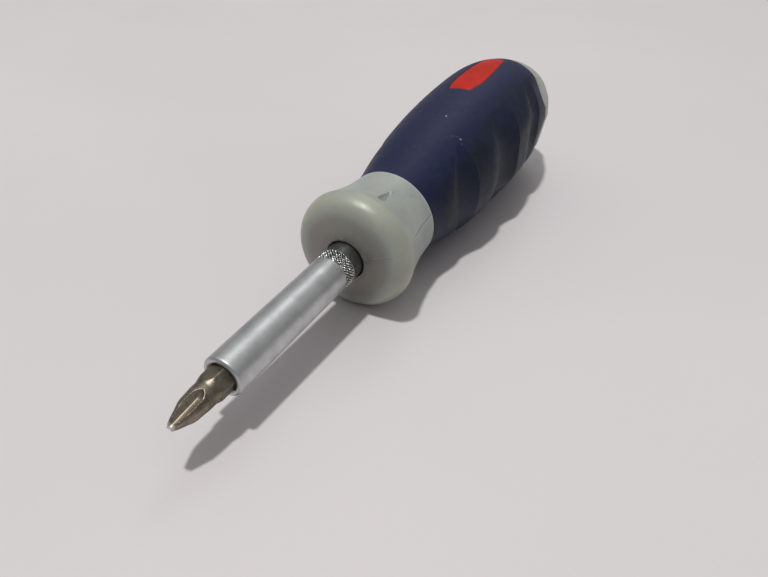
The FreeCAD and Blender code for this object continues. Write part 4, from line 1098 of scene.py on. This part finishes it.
# ---------------------------------------------------------------- bits
def flute_r(th, core, half_deg, soft, roll, count=4):
    """Radius at which the rounded V flutes lie, for one section; infinite between them."""
    a = (np.degrees(th) - roll) % (360.0 / count)
    a = np.radians(np.where(a > 180.0 / count, a - 360.0 / count, a))
    c = 1.0 / math.tan(math.radians(half_deg))
    # r cos a = core - soft*c + sqrt((r sin a * c)^2 + (soft*c)^2)
    s = soft * c
    k0 = core - s
    A = np.cos(a) ** 2 - (np.sin(a) * c) ** 2
    B = -2 * np.cos(a) * k0
    C = k0 ** 2 - s ** 2
    disc = np.maximum(B * B - 4 * A * C, 0)
    with np.errstate(divide="ignore", invalid="ignore"):
        r = (-B + np.sqrt(disc)) / (2 * A)
    r = np.where((A <= 1e-6) | (r <= 0) | ~np.isfinite(r), 1e3, r)
    return np.minimum(r, 1e3)


def softmin(a, b, s):
    m = np.minimum(a, b)
    return m - s * np.log(np.exp(-(a - m) / s) + np.exp(-(b - m) / s))


def bit_rows(tip, roll, n, section, shank_front, af=6.35, corner=3.60, neck=2.95, notch=True):
    """Hexagon shank from the back of the bit to where it turns round; section is not used."""
    th = np.radians(roll) + np.linspace(0, 2 * np.pi, n, endpoint=False)
    back = tip - 25.0
    hx_ = hex_r(th, af, corner, roll, soft=0.03)
    rows_ = []
    for x_, lim in ((0.0, 2.2), (0.0, 2.95), (0.12, 3.12), (0.45, 3.5), (0.6, 3.66)):
        rows_.append(ring_row(back + x_, np.minimum(hx_, lim), th))
    rows_.append(ring_row(back + 1.4, hx_, th))
    rows_.append(ring_row(back + 3.2, hx_, th))
    if notch:
        for x_ in np.linspace(4.05, 5.95, 11):
            cut = 3.98 - math.sqrt(max(0.80 ** 2 - (x_ - 5.0) ** 2, 0.0)) * 0.75 if abs(x_ - 5.0) < 0.8 else 9.0
            rows_.append(ring_row(back + x_, np.minimum(hx_, cut), th))
    for x_ in np.arange(6.6, shank_front - back - 0.3, 1.1):
        rows_.append(ring_row(back + x_, hx_, th))
    return th, rows_, hx_, back


def phillips_bit(name, body, tip, roll, body_prof, core_fn, half_deg=46.0, soft=0.16, n=240, at_yz=(0, 0), mat=None, flute_end=None):
    prof_r = spline([p[0] for p in body_prof], [p[1] for p in body_prof])
    th, rows_, hx_, back = bit_rows(tip, roll, n, None, tip + body_prof[0][0])
    x_front = tip + body_prof[0][0]
    # shank runs out on a cone into the round neck
    for x_ in np.linspace(x_front - 0.25, x_front + 1.7, 16):
        t = (x_ - (x_front - 0.25)) / 1.95
        cone = 3.72 - (3.72 - float(prof_r(body_prof[0][0] + 1.7))) * t
        rows_.append(ring_row(x_, softmin(hx_, np.full_like(hx_, cone), 0.035), th))
    for x_ in np.linspace(x_front + 1.85, tip - 0.10, 96):
        r_b = float(prof_r(x_ - tip))
        core = float(core_fn(x_ - tip))
        r_ = np.full_like(th, r_b)
        if core < r_b + 0.6:
            r_ = softmin(r_, flute_r(th, core, half_deg, soft, roll), 0.022)
        rows_.append(ring_row(x_, r_, th))
    last = rows_[-1]
    centre = last[:, 0].mean()
    for t, dx in ((0.86, 0.05), (0.62, 0.085), (0.32, 0.10)):
        row = last.copy()
        row[:, 1:] *= t
        row[:, 0] = centre + dx
        rows_.append(row)
    rows_ = np.array(rows_)
    v_, f_ = skin(rows_, pole_a=(back, 0, 0), pole_b=(tip, 0, 0))
    v_[:, 1] += at_yz[0]
    v_[:, 2] += at_yz[1]
    return mesh_object(name, v_, f_, body, mat or M["tool_steel"], sharp=42)


# number 2 cross point: body outline and the floor of the flutes, from the tip back
PROF2 = [(-12.4, 3.24), (-10.7, 3.06), (-9.6, 3.05), (-8.0, 3.00), (-6.4, 2.91), (-5.1, 2.80), (-4.4, 2.62), (-3.0, 2.07), (-2.0, 1.72),
         (-1.0, 1.32), (-0.4, 1.04), (-0.12, 0.93), (0.0, 0.84)]


def core2(x):
    """Distance of the flute's floor from the axis."""
    s = -x
    straight = 0.42 + 0.150 * s
    if s > 7.5:
        d = s - 7.5
        straight += 0.05 * d + 0.36 * d * d
    return straight


bit = phillips_bit("cross_bit", "bit", 64.0, ROLL, PROF2, core2, half_deg=45.0, soft=0.24)
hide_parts("phillips_bit")

# ---------------------------------------------------------------- end cap
cap_x = spline([0, 1.9, 4.30, 7.50, 10.15, 12.30, 14.55], [132.5, 132.32, 131.6, 129.6, 127.0, 124.0, 120.0])
cap_r = spline([110.0, 112.2, 116.0, 120.0, 124.0, 127.0], [18.4, 17.75, 16.33, 14.53, 12.28, 10.13])
pts = [(-122.0, 1.0), (-122.0, 1.25), (-114.0, 1.25), (-104.15, 1.25), (-104.0, 1.4), (-104.0, 3.0), (-104.0, 8.0), (-104.0, 12.75),
       (-104.1, 12.98), (-104.35, 13.15), (-104.7, 13.2), (-107.0, 13.2), (-107.2, 13.05), (-107.2, 11.85), (-108.8, 11.85), (-108.8, 13.05),
       (-109.0, 13.2), (-111.9, 13.2), (-112.2, 13.45), (-112.2, 14.6), (-112.2, 15.9)]
rr0 = 0.32
for a in np.radians(np.linspace(0, 80, 6)):
    pts.append((-112.2 - rr0 * (1 - math.cos(a)), float(cap_r(112.5)) - rr0 + rr0 * math.sin(a)))
for x_ in np.linspace(112.65, 123.0, 34):
    pts.append((-x_, float(cap_r(x_))))
for r_ in np.linspace(float(cap_r(123.0)) - 0.35, 0.5, 34):
    pts.append((-float(cap_x(r_)), r_))
th_cap = np.linspace(0, 2 * np.pi, 224, endpoint=False)
phi_cap = fold_angle(th_cap)
rows = []
for x_, r_ in pts:
    r_arr = np.full_like(th_cap, r_)
    x_arr = np.full_like(th_cap, x_)
    if x_ < -113.2:
        # two shallow pads for finger and thumb, to pull the cap off
        for c in (0.0, 180.0):
            q = (np.degrees(th_cap) - c + 180) % 360 - 180
            w_ = np.clip(1 - (q / 30.0) ** 2, 0, 1) ** 1.6 * math.exp(-((x_ + 119.0) / 3.6) ** 4)
            r_arr = r_arr - 0.45 * w_
        if r_ < 2.2:
            # gate mark at the centre of the end
            x_arr = x_arr + 0.16 * smooth01((1.9 - r_) / 0.5)
    if x_ < -112.19 and r_ > 15.95 or x_ < -112.4:
        whole = float(cap_r(min(max(-x_, 112.5), 125.0)))
        r_arr = r_arr * flatten(np.full_like(th_cap, min(x_, -112.5)), np.full_like(th_cap, whole), phi_cap, 0.20) / whole
    rows.append(ring_row(x_arr, r_arr, th_cap))
v, f = skin(rows, pole_a=(-122.0, 0, 0), pole_b=(-132.5 + 0.16, 0, 0))
cap = mesh_object("end_cap_shell", v, f, "magazine", M["grey_plastic"], sharp=45)
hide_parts("end_cap")

# ================================================================================================
# floor, light, camera
# ================================================================================================
SLOPE, ROLL_SLOPE = 0.0557, -0.11054
n_floor = Vector((-SLOPE, -ROLL_SLOPE, 1)).normalized()
mid = Vector((-69.0 * MM, 0, -16.83 * MM))


def floor_material():
    k = Nodes("pale_floor")
    soft = k.noise(k.P, 0.006, 3, 0.5)
    c = k.mix(k.remap(soft, 0.3, 0.7), srgb(217, 212, 213), srgb(213, 208, 210))
    fine = k.noise(k.P, 0.8, 3, 0.5)
    c = k.mix(k.remap(fine, 0.5, 0.9, 0.0, 0.12), c, srgb(204, 199, 201))
    k.set(color=c, rough=0.55, spec=0.25)
    k.set(normal=k.bump(k.noise(k.P, 1.5, 3, 0.5), 0.01))
    return k.mat


me = bpy.data.meshes.new("floor")
S = 3.2
right = Vector((1, 0, SLOPE)).normalized()
fwd = Vector((0, 1, ROLL_SLOPE))
corners = [mid + right * (sx * S) + fwd * (sy * S) for sx, sy in ((-1, -1), (1, -1), (1, 1), (-1, 1))]
me.from_pydata([tuple(c) for c in corners], [], [(0, 1, 2, 3)])
me.update()
me.materials.append(floor_material())
floor = bpy.data.objects.new("floor", me)
scene.collection.objects.link(floor)

aim = Vector((-75 * MM, 0, 0))


def area(name, direction, dist, size, power, colour=(1, 1, 1), size_y=None, spread=math.pi):
    d = Vector(direction).normalized()
    li = bpy.data.lights.new(name, "AREA")
    li.shape = "RECTANGLE" if size_y else "DISK"
    li.size = size
    if size_y:
        li.size_y = size_y
    li.energy = power
    li.color = colour
    li.spread = spread
    ob = bpy.data.objects.new(name, li)
    ob.location = aim + d * dist
    ob.rotation_euler = (-d).to_track_quat("-Z", "Y").to_euler()
    scene.collection.objects.link(ob)
    return ob


area("key", (0.0691, 0.0378, 1.0), 3.0, 0.22, 51.0, (1.0, 0.985, 0.965))
area("soft_back", (-0.70, -0.08, 0.70), 1.6, 0.55, 1.5, (0.97, 0.99, 1.0))

world = bpy.data.worlds.new("studio")
world.use_nodes = True
scene.world = world
wn = world.node_tree
wn.nodes.clear()
wo = wn.nodes.new("ShaderNodeOutputWorld")
bg = wn.nodes.new("ShaderNodeBackground")
wn.links.new(bg.outputs[0], wo.inputs[0])
tc = wn.nodes.new("ShaderNodeTexCoord")
sx = wn.nodes.new("ShaderNodeSeparateXYZ")
wn.links.new(tc.outputs["Generated"], sx.inputs[0])
ramp = wn.nodes.new("ShaderNodeValToRGB")
wn.links.new(sx.outputs[2], ramp.inputs[0])
ramp.color_ramp.elements[0].position = 0.0
ramp.color_ramp.elements[0].color = (0.176, 0.172, 0.167, 1)
ramp.color_ramp.elements[1].position = 1.0
ramp.color_ramp.elements[1].color = (0.520, 0.522, 0.525, 1)
# the room is darker on the side the tip points to, where nobody has put a wall
dot = wn.nodes.new("ShaderNodeVectorMath")
dot.operation = "DOT_PRODUCT"
wn.links.new(tc.outputs["Generated"], dot.inputs[0])
dot.inputs[1].default_value = (0.96, -0.10, 0.0)
side = wn.nodes.new("ShaderNodeMapRange")
wn.links.new(dot.outputs["Value"], side.inputs["Value"])
side.inputs["From Min"].default_value = -1.0
side.inputs["From Max"].default_value = 1.0
side.inputs["To Min"].default_value = 1.20
side.inputs["To Max"].default_value = 0.62
wn.links.new(ramp.outputs[0], bg.inputs[0])
wn.links.new(side.outputs["Result"], bg.inputs[1])

CAM_AT = Vector((53.839, 88.005, 91.998)) * MM
cam_right = Vector((-0.4894, 0.867067, -0.093184))
cam_down = Vector((0.537896, 0.216032, -0.814861))
cam_fwd = Vector((-0.686408, -0.448916, -0.572118))
cam_data = bpy.data.cameras.new("camera")
cam_data.sensor_fit = "HORIZONTAL"
cam_data.sensor_width = 36.0
cam_data.lens = 670.0 / 768.0 * 36.0
cam_data.clip_start = 0.005
cam_data.clip_end = 50.0
cam = bpy.data.objects.new("camera", cam_data)
m = Matrix.Identity(4)
for i in range(3):
    m[i][0] = cam_right[i]
    m[i][1] = -cam_down[i]
    m[i][2] = -cam_fwd[i]
    m[i][3] = CAM_AT[i]
cam.matrix_world = m
scene.collection.objects.link(cam)
scene.camera = cam
